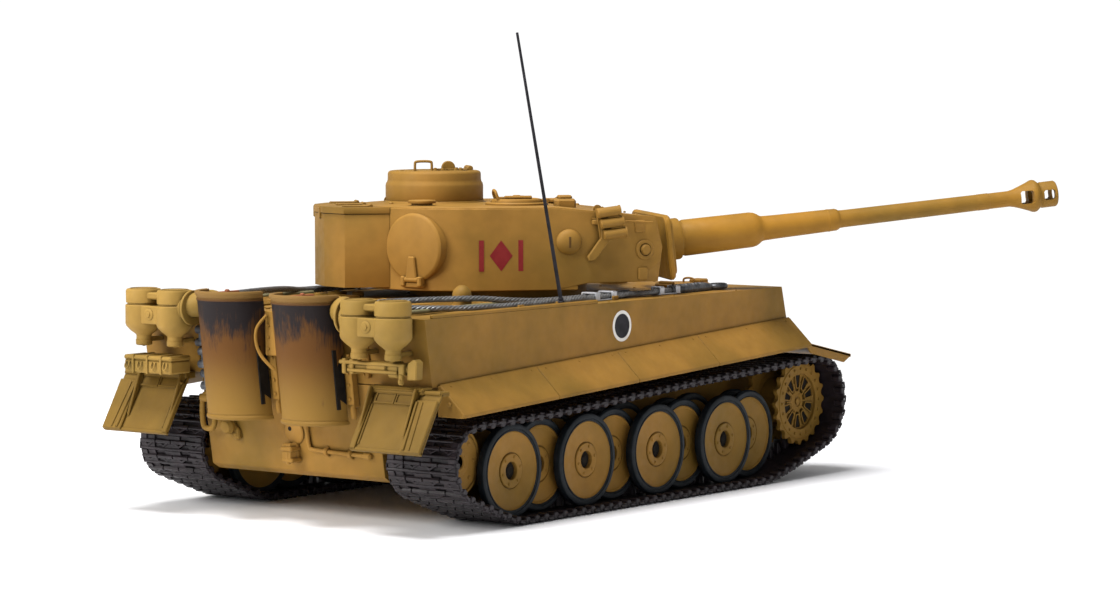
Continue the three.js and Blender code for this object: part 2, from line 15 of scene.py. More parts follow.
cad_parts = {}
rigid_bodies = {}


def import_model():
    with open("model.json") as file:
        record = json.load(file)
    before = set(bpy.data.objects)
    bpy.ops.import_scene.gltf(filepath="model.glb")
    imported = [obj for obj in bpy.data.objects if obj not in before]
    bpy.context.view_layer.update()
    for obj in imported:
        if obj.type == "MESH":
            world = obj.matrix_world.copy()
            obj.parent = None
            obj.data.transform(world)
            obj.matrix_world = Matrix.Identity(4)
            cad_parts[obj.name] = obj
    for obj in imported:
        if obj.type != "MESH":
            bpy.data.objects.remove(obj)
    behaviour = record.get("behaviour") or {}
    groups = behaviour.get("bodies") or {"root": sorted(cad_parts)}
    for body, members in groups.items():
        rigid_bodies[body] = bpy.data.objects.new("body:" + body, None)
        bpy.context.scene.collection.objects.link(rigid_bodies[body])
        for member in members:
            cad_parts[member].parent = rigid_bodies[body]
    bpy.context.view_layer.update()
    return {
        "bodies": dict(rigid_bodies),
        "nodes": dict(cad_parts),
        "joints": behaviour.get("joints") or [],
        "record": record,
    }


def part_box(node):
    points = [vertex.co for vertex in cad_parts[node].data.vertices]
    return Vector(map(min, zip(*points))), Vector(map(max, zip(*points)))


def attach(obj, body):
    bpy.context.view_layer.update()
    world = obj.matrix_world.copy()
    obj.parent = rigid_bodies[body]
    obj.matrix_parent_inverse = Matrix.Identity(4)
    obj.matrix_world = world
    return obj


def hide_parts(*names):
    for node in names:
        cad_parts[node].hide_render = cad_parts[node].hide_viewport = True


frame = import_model()

# Drawing frames

MM = 0.001
SIDES = {"right": -1, "left": 1}
JOINTS = {joint["name"]: joint for joint in frame["joints"]}


def node_centre(node):
    low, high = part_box(node)
    return (low + high) / 2


def hull_frame():
    right = node_centre("road_wheel_right_1")
    left = node_centre("road_wheel_left_1")
    return Matrix.Translation((right.x, (right.y + left.y) / 2, 0)) @ Matrix.Scale(MM, 4)


def turret_frame():
    """u forward and v left from the turret's axis, turned to the gun's resting direction."""
    axis = JOINTS["gun_elevation"]["axis"]
    x, y, _ = JOINTS["turret_yaw"]["pos_m"]
    yaw = math.atan2(axis[0], -axis[1])
    return Matrix.Translation((x, y, 0)) @ Matrix.Rotation(yaw, 4, "Z") @ Matrix.Scale(MM, 4)


HULL = hull_frame()
TURRET = turret_frame()
TRUNNION = TURRET.inverted() @ Vector(JOINTS["gun_elevation"]["pos_m"])
GUN_ELEVATION = math.radians(6)
GUN = TURRET @ Matrix.Translation(TRUNNION) @ Matrix.Rotation(-GUN_ELEVATION, 4, "Y")
IDENTITY = Matrix.Identity(4)

AXLE_PITCH = 21.46
AXLE_COUNT = 8
WHEEL_Z = 18.3
DECK_Z = 73.2
REAR_TOP_X = -45.1
REAR_LEAN = 0.165


def rear_x(z):
    """The x of the leaning rear plate at a height."""
    return REAR_TOP_X + (DECK_Z - z) * REAR_LEAN


# Node materials


class Nodes:
    """A small helper that wires one material's node tree."""

    def __init__(self, name):
        self.material = bpy.data.materials.new(name)
        self.material.use_nodes = True
        self.tree = self.material.node_tree
        self.shader = self.tree.nodes["Principled BSDF"]
        self.place = self.new("ShaderNodeTexCoord").outputs["Object"]

    def new(self, kind, **values):
        node = self.tree.nodes.new(kind)
        for key, value in values.items():
            setattr(node, key, value)
        return node

    def link(self, source, target):
        self.tree.links.new(source, target)

    def stretched(self, scale):
        mapping = self.new("ShaderNodeMapping")
        mapping.inputs["Scale"].default_value = scale
        self.link(self.place, mapping.inputs["Vector"])
        return mapping.outputs["Vector"]

    def noise(self, scale, detail=3.0, roughness=0.5, vector=None):
        node = self.new("ShaderNodeTexNoise")
        node.inputs["Scale"].default_value = scale
        node.inputs["Detail"].default_value = detail
        node.inputs["Roughness"].default_value = roughness
        self.link(vector or self.place, node.inputs["Vector"])
        return node.outputs["Fac"]

    def ramp(self, factor, *stops):
        """A float or colour ramp through (position, value) stops."""
        node = self.new("ShaderNodeValToRGB")
        elements = node.color_ramp.elements
        while len(elements) < len(stops):
            elements.new(0.5)
        for element, (position, value) in zip(elements, stops):
            element.position = position
            colour = (value, value, value) if isinstance(value, (int, float)) else value
            element.color = (*colour, 1)
        self.link(factor, node.inputs["Fac"])
        return node.outputs["Color"]

    def mix(self, factor, first, second, blend="MIX"):
        node = self.new("ShaderNodeMix", data_type="RGBA", blend_type=blend)
        for socket, value in ((0, factor), (6, first), (7, second)):
            if isinstance(value, bpy.types.NodeSocket):
                self.link(value, node.inputs[socket])
            elif socket == 0:
                node.inputs[socket].default_value = value
            else:
                node.inputs[socket].default_value = (*value, 1)
        return node.outputs[2]

    def math(self, operation, first, second):
        node = self.new("ShaderNodeMath", operation=operation)
        for socket, value in zip(node.inputs, (first, second)):
            if isinstance(value, bpy.types.NodeSocket):
                self.link(value, socket)
            else:
                socket.default_value = value
        return node.outputs[0]

    def height(self, low, high):
        """0 below one height of the object and 1 above another, in millimetres."""
        axes = self.new("ShaderNodeSeparateXYZ")
        self.link(self.place, axes.inputs[0])
        span = self.new("ShaderNodeMapRange", interpolation_type="SMOOTHSTEP")
        span.inputs["From Min"].default_value = low * MM
        span.inputs["From Max"].default_value = high * MM
        self.link(axes.outputs["Z"], span.inputs["Value"])
        return span.outputs["Result"]

    def hollows(self, distance):
        """Painted shade from ambient occlusion: dark in creases and corners, white on open surfaces."""
        node = self.new("ShaderNodeAmbientOcclusion", samples=6)
        node.inputs["Distance"].default_value = distance * MM
        return node.outputs["AO"]

    def bump(self, height, strength, distance):
        node = self.new("ShaderNodeBump")
        node.inputs["Strength"].default_value = strength
        node.inputs["Distance"].default_value = distance * MM
        self.link(height, node.inputs["Height"])
        self.link(node.outputs["Normal"], self.shader.inputs["Normal"])

    def finish(self, colour, roughness, metallic=0.0, specular=0.5):
        self.link(colour, self.shader.inputs["Base Color"])
        if isinstance(roughness, bpy.types.NodeSocket):
            self.link(roughness, self.shader.inputs["Roughness"])
        else:
            self.shader.inputs["Roughness"].default_value = roughness
        self.shader.inputs["Metallic"].default_value = metallic
        self.shader.inputs["Specular IOR Level"].default_value = specular
        return self.material


def sprayed_paint(name, sand, shade, patch_scale=24.0):
    """Matt model paint: soft airbrushed patches, painted shade darkening the hollows and a fine grain."""
    n = Nodes(name)
    patches = n.ramp(n.noise(patch_scale, 2.0), (0.40, 0.0), (0.66, 1.0))
    colour = n.mix(patches, sand, shade)
    mottle = n.ramp(n.noise(160.0, 4.0), (0.30, 0.90), (0.70, 1.06))
    colour = n.mix(1.0, colour, mottle, "MULTIPLY")
    # painted shade: the colour is darkened in creases and corners by ambient occlusion
    painted_crease_shade = n.ramp(n.hollows(2.2), (0.25, 0.38), (0.80, 1.0))
    colour = n.mix(1.0, colour, painted_crease_shade, "MULTIPLY")
    roughness = n.ramp(n.noise(420.0, 3.0), (0.35, 0.54), (0.70, 0.68))
    n.bump(n.noise(5200.0, 2.0), 0.16, 0.05)
    return n.finish(colour, roughness, specular=0.14)


def sooted_paint():
    """Sand paint rusted by heat, with soot dragged down in streaks from the top of the exhaust."""
    n = Nodes("sooted_paint")
    warm = n.mix(n.height(40, 62), (0.190, 0.104, 0.020), (0.098, 0.040, 0.008))
    warm = n.mix(n.height(77.0, 78.6), warm, (0.215, 0.118, 0.030))
    streaks = n.noise(1.0, 5.0, 0.7, n.stretched((900, 900, 30)))
    fine = n.noise(1.0, 3.0, 0.6, n.stretched((3600, 3600, 90)))
    patches = n.noise(130.0, 2.0)
    ragged = n.math(
        "ADD", n.math("ADD", n.math("MULTIPLY", streaks, 0.8), n.math("MULTIPLY", fine, 0.7)), patches,
    )
    reach = n.math("ADD", n.height(52, 84), ragged)
    soot = n.ramp(n.math("MULTIPLY", reach, 0.5), (0.76, 0.0), (0.96, 0.95))
    under_lip = n.ramp(n.height(76.8, 77.2), (0.0, 1.0), (1.0, 0.22))
    soot = n.mix(1.0, soot, under_lip, "MULTIPLY")
    colour = n.mix(soot, warm, (0.010, 0.009, 0.011))
    # painted shade: the creases and corners of the sheet are darkened by ambient occlusion
    painted_crease_shade = n.ramp(n.hollows(1.6), (0.30, 0.42), (0.80, 1.0))
    colour = n.mix(1.0, colour, painted_crease_shade, "MULTIPLY")
    n.bump(n.noise(4200.0, 2.0), 0.16, 0.05)
    return n.finish(colour, 0.62, specular=0.12)


def tyre_rubber():
    n = Nodes("tyre_rubber")
    dust = n.ramp(n.noise(240.0, 4.0), (0.35, (0.004, 0.006, 0.008)), (0.75, (0.012, 0.016, 0.020)))
    n.bump(n.noise(3600.0, 2.0), 0.2, 0.05)
    return n.finish(dust, 0.56, specular=0.2)


def track_metal():
    """Dark purple-brown moulded links with paler patches at random and painted shade darkening the hollows.
    """
    n = Nodes("track_metal")
    tone = n.ramp(n.noise(210.0, 4.0), (0.30, (0.008, 0.0055, 0.0068)), (0.75, (0.023, 0.016, 0.0195)))
    # painted shade: the links' hollows are darkened by ambient occlusion
    painted_crease_shade = n.ramp(n.hollows(1.8), (0.20, 0.20), (0.85, 1.0))
    colour = n.mix(1.0, tone, painted_crease_shade, "MULTIPLY")
    n.bump(n.noise(3200.0, 3.0), 0.3, 0.06)
    return n.finish(colour, n.ramp(n.noise(500.0), (0.3, 0.38), (0.7, 0.56)), specular=0.28)


def cable_steel():
    n = Nodes("cable_steel")
    tone = n.ramp(n.noise(380.0, 4.0), (0.30, (0.125, 0.125, 0.125)), (0.72, (0.215, 0.218, 0.222)))
    # painted shade: the creases between the strands are darkened nearly to black by ambient occlusion
    painted_crease_shade = n.ramp(n.hollows(0.5), (0.30, 0.04), (0.80, 1.0))
    colour = n.mix(1.0, tone, painted_crease_shade, "MULTIPLY")
    n.bump(n.noise(3000.0, 3.0), 0.25, 0.05)
    return n.finish(colour, 0.42, metallic=0.55)


def speckled(name, dark, light, roughness, metallic=0.0):
    """A two-tone surface with a fine grain, for the small parts."""
    n = Nodes(name)
    colour = n.ramp(n.noise(300.0, 4.0), (0.3, dark), (0.72, light))
    n.bump(n.noise(3000.0, 3.0), 0.12, 0.05)
    return n.finish(colour, roughness, metallic=metallic, specular=0.12)


SAND = sprayed_paint("sand_paint", (0.262, 0.134, 0.0250), (0.172, 0.096, 0.0160))
PALE = sprayed_paint("pale_sand_paint", (0.268, 0.160, 0.0360), (0.196, 0.122, 0.0260), 34.0)
# A darker copy of the pale sand paint for the rear mudguards: painted shade.
PALE_IN_SHADE = sprayed_paint("guard_sand_paint", (0.138, 0.078, 0.0125), (0.100, 0.059, 0.0090), 30.0)
GUN_SAND = sprayed_paint("gun_sand_paint", (0.285, 0.135, 0.0150), (0.165, 0.098, 0.0180), 18.0)
SOOT = sooted_paint()
RUST = speckled("rust_rod", (0.17, 0.055, 0.025), (0.30, 0.10, 0.045), 0.6)
RUBBER = tyre_rubber()
TRACK = track_metal()
CABLE = cable_steel()
CLAMP = speckled("clamp_silver", (0.33, 0.34, 0.37), (0.58, 0.59, 0.62), 0.35, 0.7)
GUNMETAL = speckled("dark_metal", (0.045, 0.048, 0.054), (0.16, 0.165, 0.175), 0.42, 0.5)
BLACK = speckled("black_plastic", (0.008, 0.008, 0.010), (0.022, 0.021, 0.026), 0.5)
# Near-black painted shade, put in openings, gaps and recesses where the inside would lie in shade.
HOLLOW_SHADE = speckled("dark_hollow", (0.006, 0.005, 0.004), (0.014, 0.011, 0.008), 0.85)
SLIT = speckled("shadowed_slit", (0.070, 0.036, 0.010), (0.100, 0.052, 0.014), 0.8)
HOSE = speckled("olive_hose", (0.115, 0.105, 0.055), (0.180, 0.160, 0.085), 0.6)
RED = speckled("red_marking", (0.165, 0.012, 0.014), (0.205, 0.020, 0.020), 0.55)
WHITE = speckled("white_marking", (0.60, 0.58, 0.54), (0.76, 0.74, 0.70), 0.55)
BRASS = speckled("brass", (0.45, 0.29, 0.08), (0.62, 0.42, 0.14), 0.3, 0.9)
NYLON = speckled("nylon", (0.62, 0.60, 0.54), (0.74, 0.72, 0.66), 0.45)
STEEL = speckled("motor_can", (0.40, 0.41, 0.43), (0.56, 0.57, 0.58), 0.3, 0.9)
BOARD = speckled("circuit_board", (0.006, 0.075, 0.028), (0.015, 0.125, 0.050), 0.4)
FILM = speckled("battery_film", (0.020, 0.060, 0.260), (0.035, 0.095, 0.360), 0.25)

# Solids, each a (points, faces) pair in millimetres

PLANES = {"xy": (0, 1, 2), "xz": (0, 2, 1), "yz": (1, 2, 0)}
AXES = {"x": (1, 2, 0), "y": (2, 0, 1), "z": (0, 1, 2)}


def chamfer(mesh, width, angle=20):
    """Cuts a small flat along every sharp edge of a bmesh."""
    bmesh.ops.recalc_face_normals(mesh, faces=mesh.faces)
    sharp = [edge for edge in mesh.edges if edge.calc_face_angle(0) > math.radians(angle)]
    bmesh.ops.bevel(
        mesh, geom=sharp, offset=width, offset_type="OFFSET", segments=1,
        profile=0.5, affect="EDGES", clamp_overlap=True,
    )


def softened(points, faces, width):
    if not width:
        return points, faces
    mesh = bmesh.new()
    corners = [mesh.verts.new(point) for point in points]
    for face in faces:
        mesh.faces.new([corners[index] for index in face])
    chamfer(mesh, width)
    mesh.verts.index_update()
    solid = (
        [vertex.co.copy() for vertex in mesh.verts],
        [tuple(vertex.index for vertex in face.verts) for face in mesh.faces],
    )
    mesh.free()
    return solid


def box(x, y, z, bevel=0.25):
    points = [Vector((a, b, c)) for a in x for b in y for c in z]
    faces = [(0, 1, 3, 2), (4, 6, 7, 5), (0, 4, 5, 1), (2, 3, 7, 6), (0, 2, 6, 4), (1, 5, 7, 3)]
    return softened(points, faces, bevel)


def prism(plane, outline, low, high, bevel=0.25):
    """An outline in one plane, carried along the third axis from low to high."""
    first, second, third = PLANES[plane]
    points = []
    for level in (low, high):
        for a, b in outline:
            point = Vector((0, 0, 0))
            point[first], point[second], point[third] = a, b, level
            points.append(point)
    count = len(outline)
    faces = [tuple(range(count)), tuple(range(count, 2 * count))]
    for i in range(count):
        j = (i + 1) % count
        faces.append((i, j, j + count, i + count))
    return softened(points, faces, bevel)


def collar(plane, outer, inner, low, high):
    """A flat ring between two outlines that have the same number of points."""
    first, second, third = PLANES[plane]
    points = []
    for level in (low, high):
        for outline in (outer, inner):
            for a, b in outline:
                point = Vector((0, 0, 0))
                point[first], point[second], point[third] = a, b, level
                points.append(point)
    count = len(outer)
    faces = []
    for i in range(count):
        j = (i + 1) % count
        for first_row, second_row in ((0, 1), (1, 3), (3, 2), (2, 0)):
            a, b = first_row * count, second_row * count
            faces.append((a + i, a + j, b + j, b + i))
    return points, faces


def lathe(axis, profile, segments=48, start=0, sweep=360):
    """A profile of (radius, along) turned about an axis. It starts and ends on the axis, or it closes."""
    first, second, third = AXES[axis]
    closed = profile[0] == profile[-1]
    rows = profile[:-1] if closed else profile
    full = sweep == 360
    steps = segments if full else segments + 1
    points, rings = [], []
    for radius, along in rows:
        ring = []
        for i in range(steps):
            if radius == 0 and ring:
                ring.append(ring[0])
                continue
            angle = math.radians(start + sweep * i / segments)
            point = Vector((0, 0, 0))
            point[first] = radius * math.cos(angle)
            point[second] = radius * math.sin(angle)
            point[third] = along
            ring.append(len(points))
            points.append(point)
        rings.append(ring)
    faces = []
    pairs = list(zip(rings, rings[1:])) + ([(rings[-1], rings[0])] if closed else [])
    for a, b in pairs:
        for i in range(segments):
            j = (i + 1) % steps
            corners = list(dict.fromkeys((a[i], a[j], b[j], b[i])))
            if len(corners) > 2:
                faces.append(tuple(corners))
    if not full:
        faces.append(tuple(ring[0] for ring in rings))
        faces.append(tuple(ring[-1] for ring in rings))
    return points, faces


def drum(axis, radius, low, high, edge=0.3, segments=32):
    """A round bar or disc with eased edges."""
    return lathe(axis, [
        (0, low), (radius - edge, low), (radius, low + edge),
        (radius, high - edge), (radius - edge, high), (0, high),
    ], segments)


def curve(route, steps=4, closed=False):
    """A smooth line through the points of a route."""
    route = [Vector(point) for point in route]
    count = len(route)
    line = []
    for i in range(count if closed else count - 1):
        if closed:
            before, here, there, after = (route[(i + k) % count] for k in (-1, 0, 1, 2))
        else:
            before, here, there, after = (route[min(max(i + k, 0), count - 1)] for k in (-1, 0, 1, 2))
        for step in range(steps):
            t = step / steps
            line.append(
                ((-t + 2 * t * t - t ** 3) * before + (2 - 5 * t * t + 3 * t ** 3) * here
                 + (t + 4 * t * t - 3 * t ** 3) * there + (t ** 3 - t * t) * after) / 2
            )
    return line if closed else line + [route[-1]]


def sections(line, closed=False):
    """A (point, normal, side) frame at each point of a line, turning as little as it can."""
    count = len(line)
    frames, normal = [], None
    for i, point in enumerate(line):
        if closed:
            heading = (line[(i + 1) % count] - line[i - 1]).normalized()
        else:
            heading = (line[min(i + 1, count - 1)] - line[max(i - 1, 0)]).normalized()
        if normal is None:
            up = Vector((0, 0, 1)) if abs(heading.z) < 0.9 else Vector((1, 0, 0))
            normal = up
        normal = (normal - heading * normal.dot(heading)).normalized()
        frames.append((point, normal, heading.cross(normal)))
    return frames


def tube(line, radius, sides=10, closed=False):
    """A round tube along a line. The radius may be a list with a value for each point."""
    radii = radius if isinstance(radius, list) else [radius] * len(line)
    points = []
    for (point, normal, side), r in zip(sections(line, closed), radii):
        for k in range(sides):
            angle = 2 * math.pi * k / sides
            points.append(point + r * (math.cos(angle) * normal + math.sin(angle) * side))
    faces = []
    count = len(line)
    for i in range(count if closed else count - 1):
        a, b = i * sides, ((i + 1) % count) * sides
        for k in range(sides):
            m = (k + 1) % sides
            faces.append((a + k, a + m, b + m, b + k))
    if not closed:
        faces.append(tuple(range(sides)))
        faces.append(tuple(range((count - 1) * sides, count * sides)))
    return points, faces


def rod(start, end, radius, sides=8):
    """A straight round bar between two points."""
    return tube([Vector(start), Vector(end)], radius, sides)


def toward(direction, point):
    """Places a solid drawn along +Z so that it points in a direction from a point."""
    return Matrix.Translation(point) @ Vector(direction).to_track_quat("Z", "Y").to_matrix().to_4x4()


def bolt(radius=0.6, height=0.45):
    """A hexagon head with a small washer."""
    washer = lathe("z", [(0, -0.3), (radius * 1.3, -0.3), (radius * 1.3, 0.12), (0, 0.12)], 12)
    head = lathe("z", [
        (0, -0.2), (radius, -0.2), (radius, height - 0.12), (radius * 0.8, height), (0, height),
    ], 6)
    return joined(washer, head)


def rivet(radius=0.5, height=0.35):
    return lathe("z", [
        (0, -0.3), (radius, -0.3), (radius * 0.92, height * 0.5), (radius * 0.5, height), (0, height),
    ], 10)


def joined(*solids):
    points, faces = [], []
    for more_points, more_faces in solids:
        base = len(points)
        points += more_points
        faces += [tuple(index + base for index in face) for face in more_faces]
    return points, faces


def moved(solid, place):
    points, faces = solid
    return [place @ point for point in points], faces


def rounded(width, height, radius, steps=4):
    """The outline of a rectangle with round corners, about its centre."""
    outline = []
    for turn, (cx, cy) in enumerate(((1, 1), (-1, 1), (-1, -1), (1, -1))):
        for i in range(steps + 1):
            angle = math.radians(90 * turn + 90 * i / steps)
            outline.append((
                cx * (width / 2 - radius) + radius * math.cos(angle),
                cy * (height / 2 - radius) + radius * math.sin(angle),
            ))
    return outline


def circle(radius, count):
    angles = [2 * math.pi * i / count for i in range(count)]
    return [(radius * math.cos(a), radius * math.sin(a)) for a in angles]


def spread(count, radius, phase=0.0):
    """Places for a ring of equal pieces about a wheel's axle, each drawn at the centre."""
    angles = [phase + 2 * math.pi * i / count for i in range(count)]
    return [Matrix.Translation((radius * math.sin(a), 0, radius * math.cos(a))) for a in angles]


def at(x, y, z):
    return Matrix.Translation((x, y, z))


def mirror(side):
    """Draws the left side as it is and turns it over for the right."""
    return Matrix.Diagonal((1, SIDES[side], 1, 1))


class Shape:
    """Closed solids gathered into one mesh, each with its own material."""

    def __init__(self, material):
        self.points, self.faces, self.slots = [], [], []
        self.materials = [material]

    def add(self, solid, *places, material=None):
        material = material or self.materials[0]
        if material not in self.materials:
            self.materials.append(material)
        index = self.materials.index(material)
        points, faces = solid
        for place in places or (IDENTITY,):
            base = len(self.points)
            self.points += [place @ point for point in points]
            self.faces += [tuple(i + base for i in face) for face in faces]
            self.slots += [index] * len(faces)
        return self

    def dress(self, node, suffix, body, slot, place=HULL, angle=32):
        """Finishes the shape as the surface of the CAD node that it takes the place of."""
        self.finish(f"{node}_{suffix}", body, slot, place, (node,), angle)

    def finish(self, name, body, slot, place=HULL, replaces=(), angle=32):
        """Carries the shape to its place on the frame and makes it ride on a body."""
        mesh = bpy.data.meshes.new(name)
        mesh.from_pydata([place @ point for point in self.points], [], self.faces)
        for material in self.materials:
            mesh.materials.append(material)
        mesh.polygons.foreach_set("material_index", self.slots)
        return show(mesh, name, body, replaces, angle)


def show(mesh, name, body, replaces, angle=32):
    work = bmesh.new()
    work.from_mesh(mesh)
    bmesh.ops.recalc_face_normals(work, faces=work.faces)
    work.to_mesh(mesh)
    work.free()
    mesh.polygons.foreach_set("use_smooth", [True] * len(mesh.polygons))
    mesh.set_sharp_from_angle(angle=math.radians(angle))
    piece = bpy.data.objects.new(name, mesh)
    bpy.context.scene.collection.objects.link(piece)
    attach(piece, body)
    if replaces:
        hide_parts(*replaces)
    return piece


def eased_node(node, body, material, width=0.25):
    """A CAD solid's own shape with its sharp edges eased."""
    work = bmesh.new()
    work.from_mesh(frame["nodes"][node].data)
    bmesh.ops.remove_doubles(work, verts=work.verts, dist=1e-6)
    bmesh.ops.dissolve_limit(work, angle_limit=math.radians(1), verts=work.verts, edges=work.edges)
    chamfer(work, width * MM, 28)
    mesh = bpy.data.meshes.new(node + "_surface")
    work.to_mesh(mesh)
    work.free()
    mesh.materials.append(material)
    return show(mesh, node + "_surface", body, (node,))


# Running gear

def outer_wheel():
    """Two rubber-tyred discs on one hub."""
    wheel = Shape(SAND)
    wheel.add(lathe("y", [
        (2.4, 49.0), (13.9, 49.0), (13.9, 52.0), (4.2, 52.0), (4.2, 64.5), (13.9, 64.5), (13.9, 67.1),
        (13.5, 67.25), (13.2, 66.95), (12.7, 66.75), (6.7, 66.6), (6.45, 66.45), (6.35, 66.2),
        (6.15, 66.2), (6.05, 66.75), (5.8, 66.95), (3.6, 66.95), (3.25, 66.8), (3.15, 66.5), (3.15, 65.3),
        (2.4, 65.3), (2.4, 49.0),
    ], 72))
    # painted shade: near-black discs in the hub's recess
    wheel.add(drum("y", 3.3, 64.9, 65.4), material=HOLLOW_SHADE)
    wheel.add(drum("y", 1.5, 65.3, 65.9), material=HOLLOW_SHADE)
    for inside, outside in ((49.1, 51.9), (64.3, 67.5)):
        wheel.add(lathe("y", [
            (13.6, inside), (15.7, inside), (16.3, inside + 0.25), (16.5, inside + 0.8),
            (16.5, outside - 0.8), (16.3, outside - 0.25), (15.8, outside), (14.75, outside),
            (14.6, outside - 0.35), (14.25, outside - 0.35), (14.1, outside - 0.05),
            (13.8, outside - 0.1), (13.6, inside),
        ], 72), material=RUBBER)
    knob = moved(rivet(0.58, 0.35), toward((0, 1, 0), (0, 66.95, 0)))
    wheel.add(knob, *spread(6, 4.85, phase=0.3))
    return wheel


def inner_wheel():
    """A narrow pair of tyred discs that run between the outer wheels, with room for the guide horns."""
    wheel = Shape(SAND)
    wheel.add(lathe("y", [
        (2.4, 53.8), (13.9, 53.8), (13.9, 56.5), (11.0, 56.5), (11.0, 60.4), (13.9, 60.4), (13.9, 62.5),
        (13.4, 62.6), (12.9, 62.2), (6.7, 61.9), (6.4, 61.4), (6.1, 61.4), (6.0, 62.1), (3.6, 62.3),
        (3.2, 62.1), (3.15, 61.0), (2.4, 61.0), (2.4, 53.8),
    ], 72))
    # painted shade: a near-black disc in the hub's recess
    wheel.add(drum("y", 3.3, 60.6, 61.1), material=HOLLOW_SHADE)
    for inside, outside in ((53.9, 56.4), (60.5, 62.9)):
        wheel.add(lathe("y", [
            (13.6, inside), (15.9, inside), (16.5, inside + 0.6), (16.5, outside - 0.6),
            (15.9, outside), (14.7, outside), (14.5, outside - 0.3), (14.2, outside - 0.3),
            (14.0, outside - 0.1), (13.6, inside),
        ], 72), material=RUBBER)
    knob = moved(rivet(0.58, 0.35), toward((0, 1, 0), (0, 62.2, 0)))
    wheel.add(knob, *spread(6, 4.85))
    return wheel


def scalloped(radius, depth, count, steps=8):
    """A round outline with shallow scoops between raised points."""
    outline = []
    for i in range(count * steps):
        part = (i % steps) / steps
        r = radius - depth * math.sin(math.pi * part)
        angle = 2 * math.pi * i / (count * steps)
        outline.append((r * math.cos(angle), r * math.sin(angle)))
    return outline


def idler_wheel():
    wheel = Shape(SAND)
    wheel.add(lathe("y", [
        (2.4, 52.5), (12.3, 52.5), (12.3, 55.6), (11.9, 56.0), (7.3, 56.0), (7.3, 60.2), (11.9, 60.2),
        (12.3, 60.6), (12.3, 62.6), (11.9, 63.0), (11.2, 63.0), (11.0, 62.6), (4.4, 62.3), (4.2, 62.9),
        (3.0, 63.1), (2.4, 62.4), (2.4, 52.5),
    ], 64))
    wheel.add(prism("xz", scalloped(10.6, 0.5, 16), 62.2, 63.3, 0.2))
    wheel.add(lathe("y", [
        (0, 62.9), (5.2, 62.9), (5.2, 63.5), (4.2, 63.7), (2.6, 63.7), (2.2, 63.3), (0, 63.3),
    ], 40))
    wheel.add(moved(rivet(0.5, 0.3), toward((0, 1, 0), (0, 63.6, 0))), *spread(6, 3.6))
    wheel.add(moved(rivet(0.75, 0.3), toward((0, 1, 0), (0, 63.3, 0))), *spread(8, 8.0))
    return wheel


SPROCKET_TEETH = 20


def toothed_outline():
    """Short blunt teeth with round gullets between them."""
    outline = []
    pitch = 2 * math.pi / SPROCKET_TEETH
    shape = [
        (0.00, 16.7), (0.10, 16.6), (0.18, 16.1), (0.26, 15.5), (0.36, 15.1), (0.50, 15.0),
        (0.64, 15.1), (0.74, 15.5), (0.82, 16.1), (0.90, 16.6),
    ]
    for tooth in range(SPROCKET_TEETH):
        for part, radius in shape:
            angle = (tooth + part) * pitch
            outline.append((radius * math.cos(angle), radius * math.sin(angle)))
    return outline


def drive_sprocket():
    """Two toothed rings on a windowed drum, with a recessed hub cap."""
    wheel = Shape(SAND)
    teeth = toothed_outline()
    bore = circle(10.9, len(teeth))
    for low, high in ((50.1, 52.0), (63.2, 64.8)):
        wheel.add(collar("xz", teeth, bore, low, high))
    wheel.add(lathe("y", [
        (10.7, 63.0), (14.3, 63.0), (14.3, 64.9), (14.1, 65.1), (10.9, 65.1), (10.7, 64.9),
        (10.7, 63.0),
    ], 64))
    wheel.add(lathe("y", [
        (0, 50.5), (11.2, 50.5), (11.2, 51.6), (8.8, 52.2), (8.8, 61.4), (11.2, 62.6), (11.2, 63.9),
        (10.6, 63.9), (9.9, 63.3), (6.0, 63.0), (5.2, 62.4), (0, 62.4),
    ], 64))
    wheel.add(lathe("y", [
        (0, 61.9), (4.3, 61.9), (4.3, 63.0), (3.9, 63.5), (2.2, 63.8), (1.9, 63.4), (0, 63.4),
    ], 36))
    wheel.add(lathe("y", [(0, 63.2), (1.3, 63.2), (1.3, 63.9), (0.9, 64.1), (0, 64.1)], 24))
    rib = box((3.6, 7.2), (62.4, 63.6), (-0.4, 0.4), 0.15)
    wheel.add(rib, *(Matrix.Rotation(2 * math.pi * i / 10, 4, "Y") for i in range(10)))
    turns = [Matrix.Rotation(2 * math.pi * (i + 0.5) / 10, 4, "Y") for i in range(10)]
    frame = [
        (4.9, -0.9), (5.5, -1.3), (9.9, -2.1), (10.5, -1.6), (10.5, 1.6), (9.9, 2.1), (5.5, 1.3),
        (4.9, 0.9),
    ]
    opening = [
        (5.3, -0.6), (5.8, -0.9), (9.7, -1.6), (10.1, -1.2), (10.1, 1.2), (9.7, 1.6), (5.8, 0.9),
        (5.3, 0.6),
    ]
    wheel.add(collar("xz", frame, opening, 62.8, 63.9), *turns)
    # painted shade: the windows are filled with near-black plugs
    wheel.add(prism("xz", opening, 62.8, 63.45, 0), *turns, material=HOLLOW_SHADE)
    wheel.add(moved(bolt(0.5, 0.45), toward((0, 1, 0), (0, 65.1, 0))), *spread(SPROCKET_TEETH, 12.6))
    wheel.add(drum("y", 2.5, 31.0, 50.6), material=GUNMETAL)
    return wheel


IDLER_X, IDLER_Z = -24.7, 23.2
SPROCKET_X, SPROCKET_Z = 182.0, 28.2

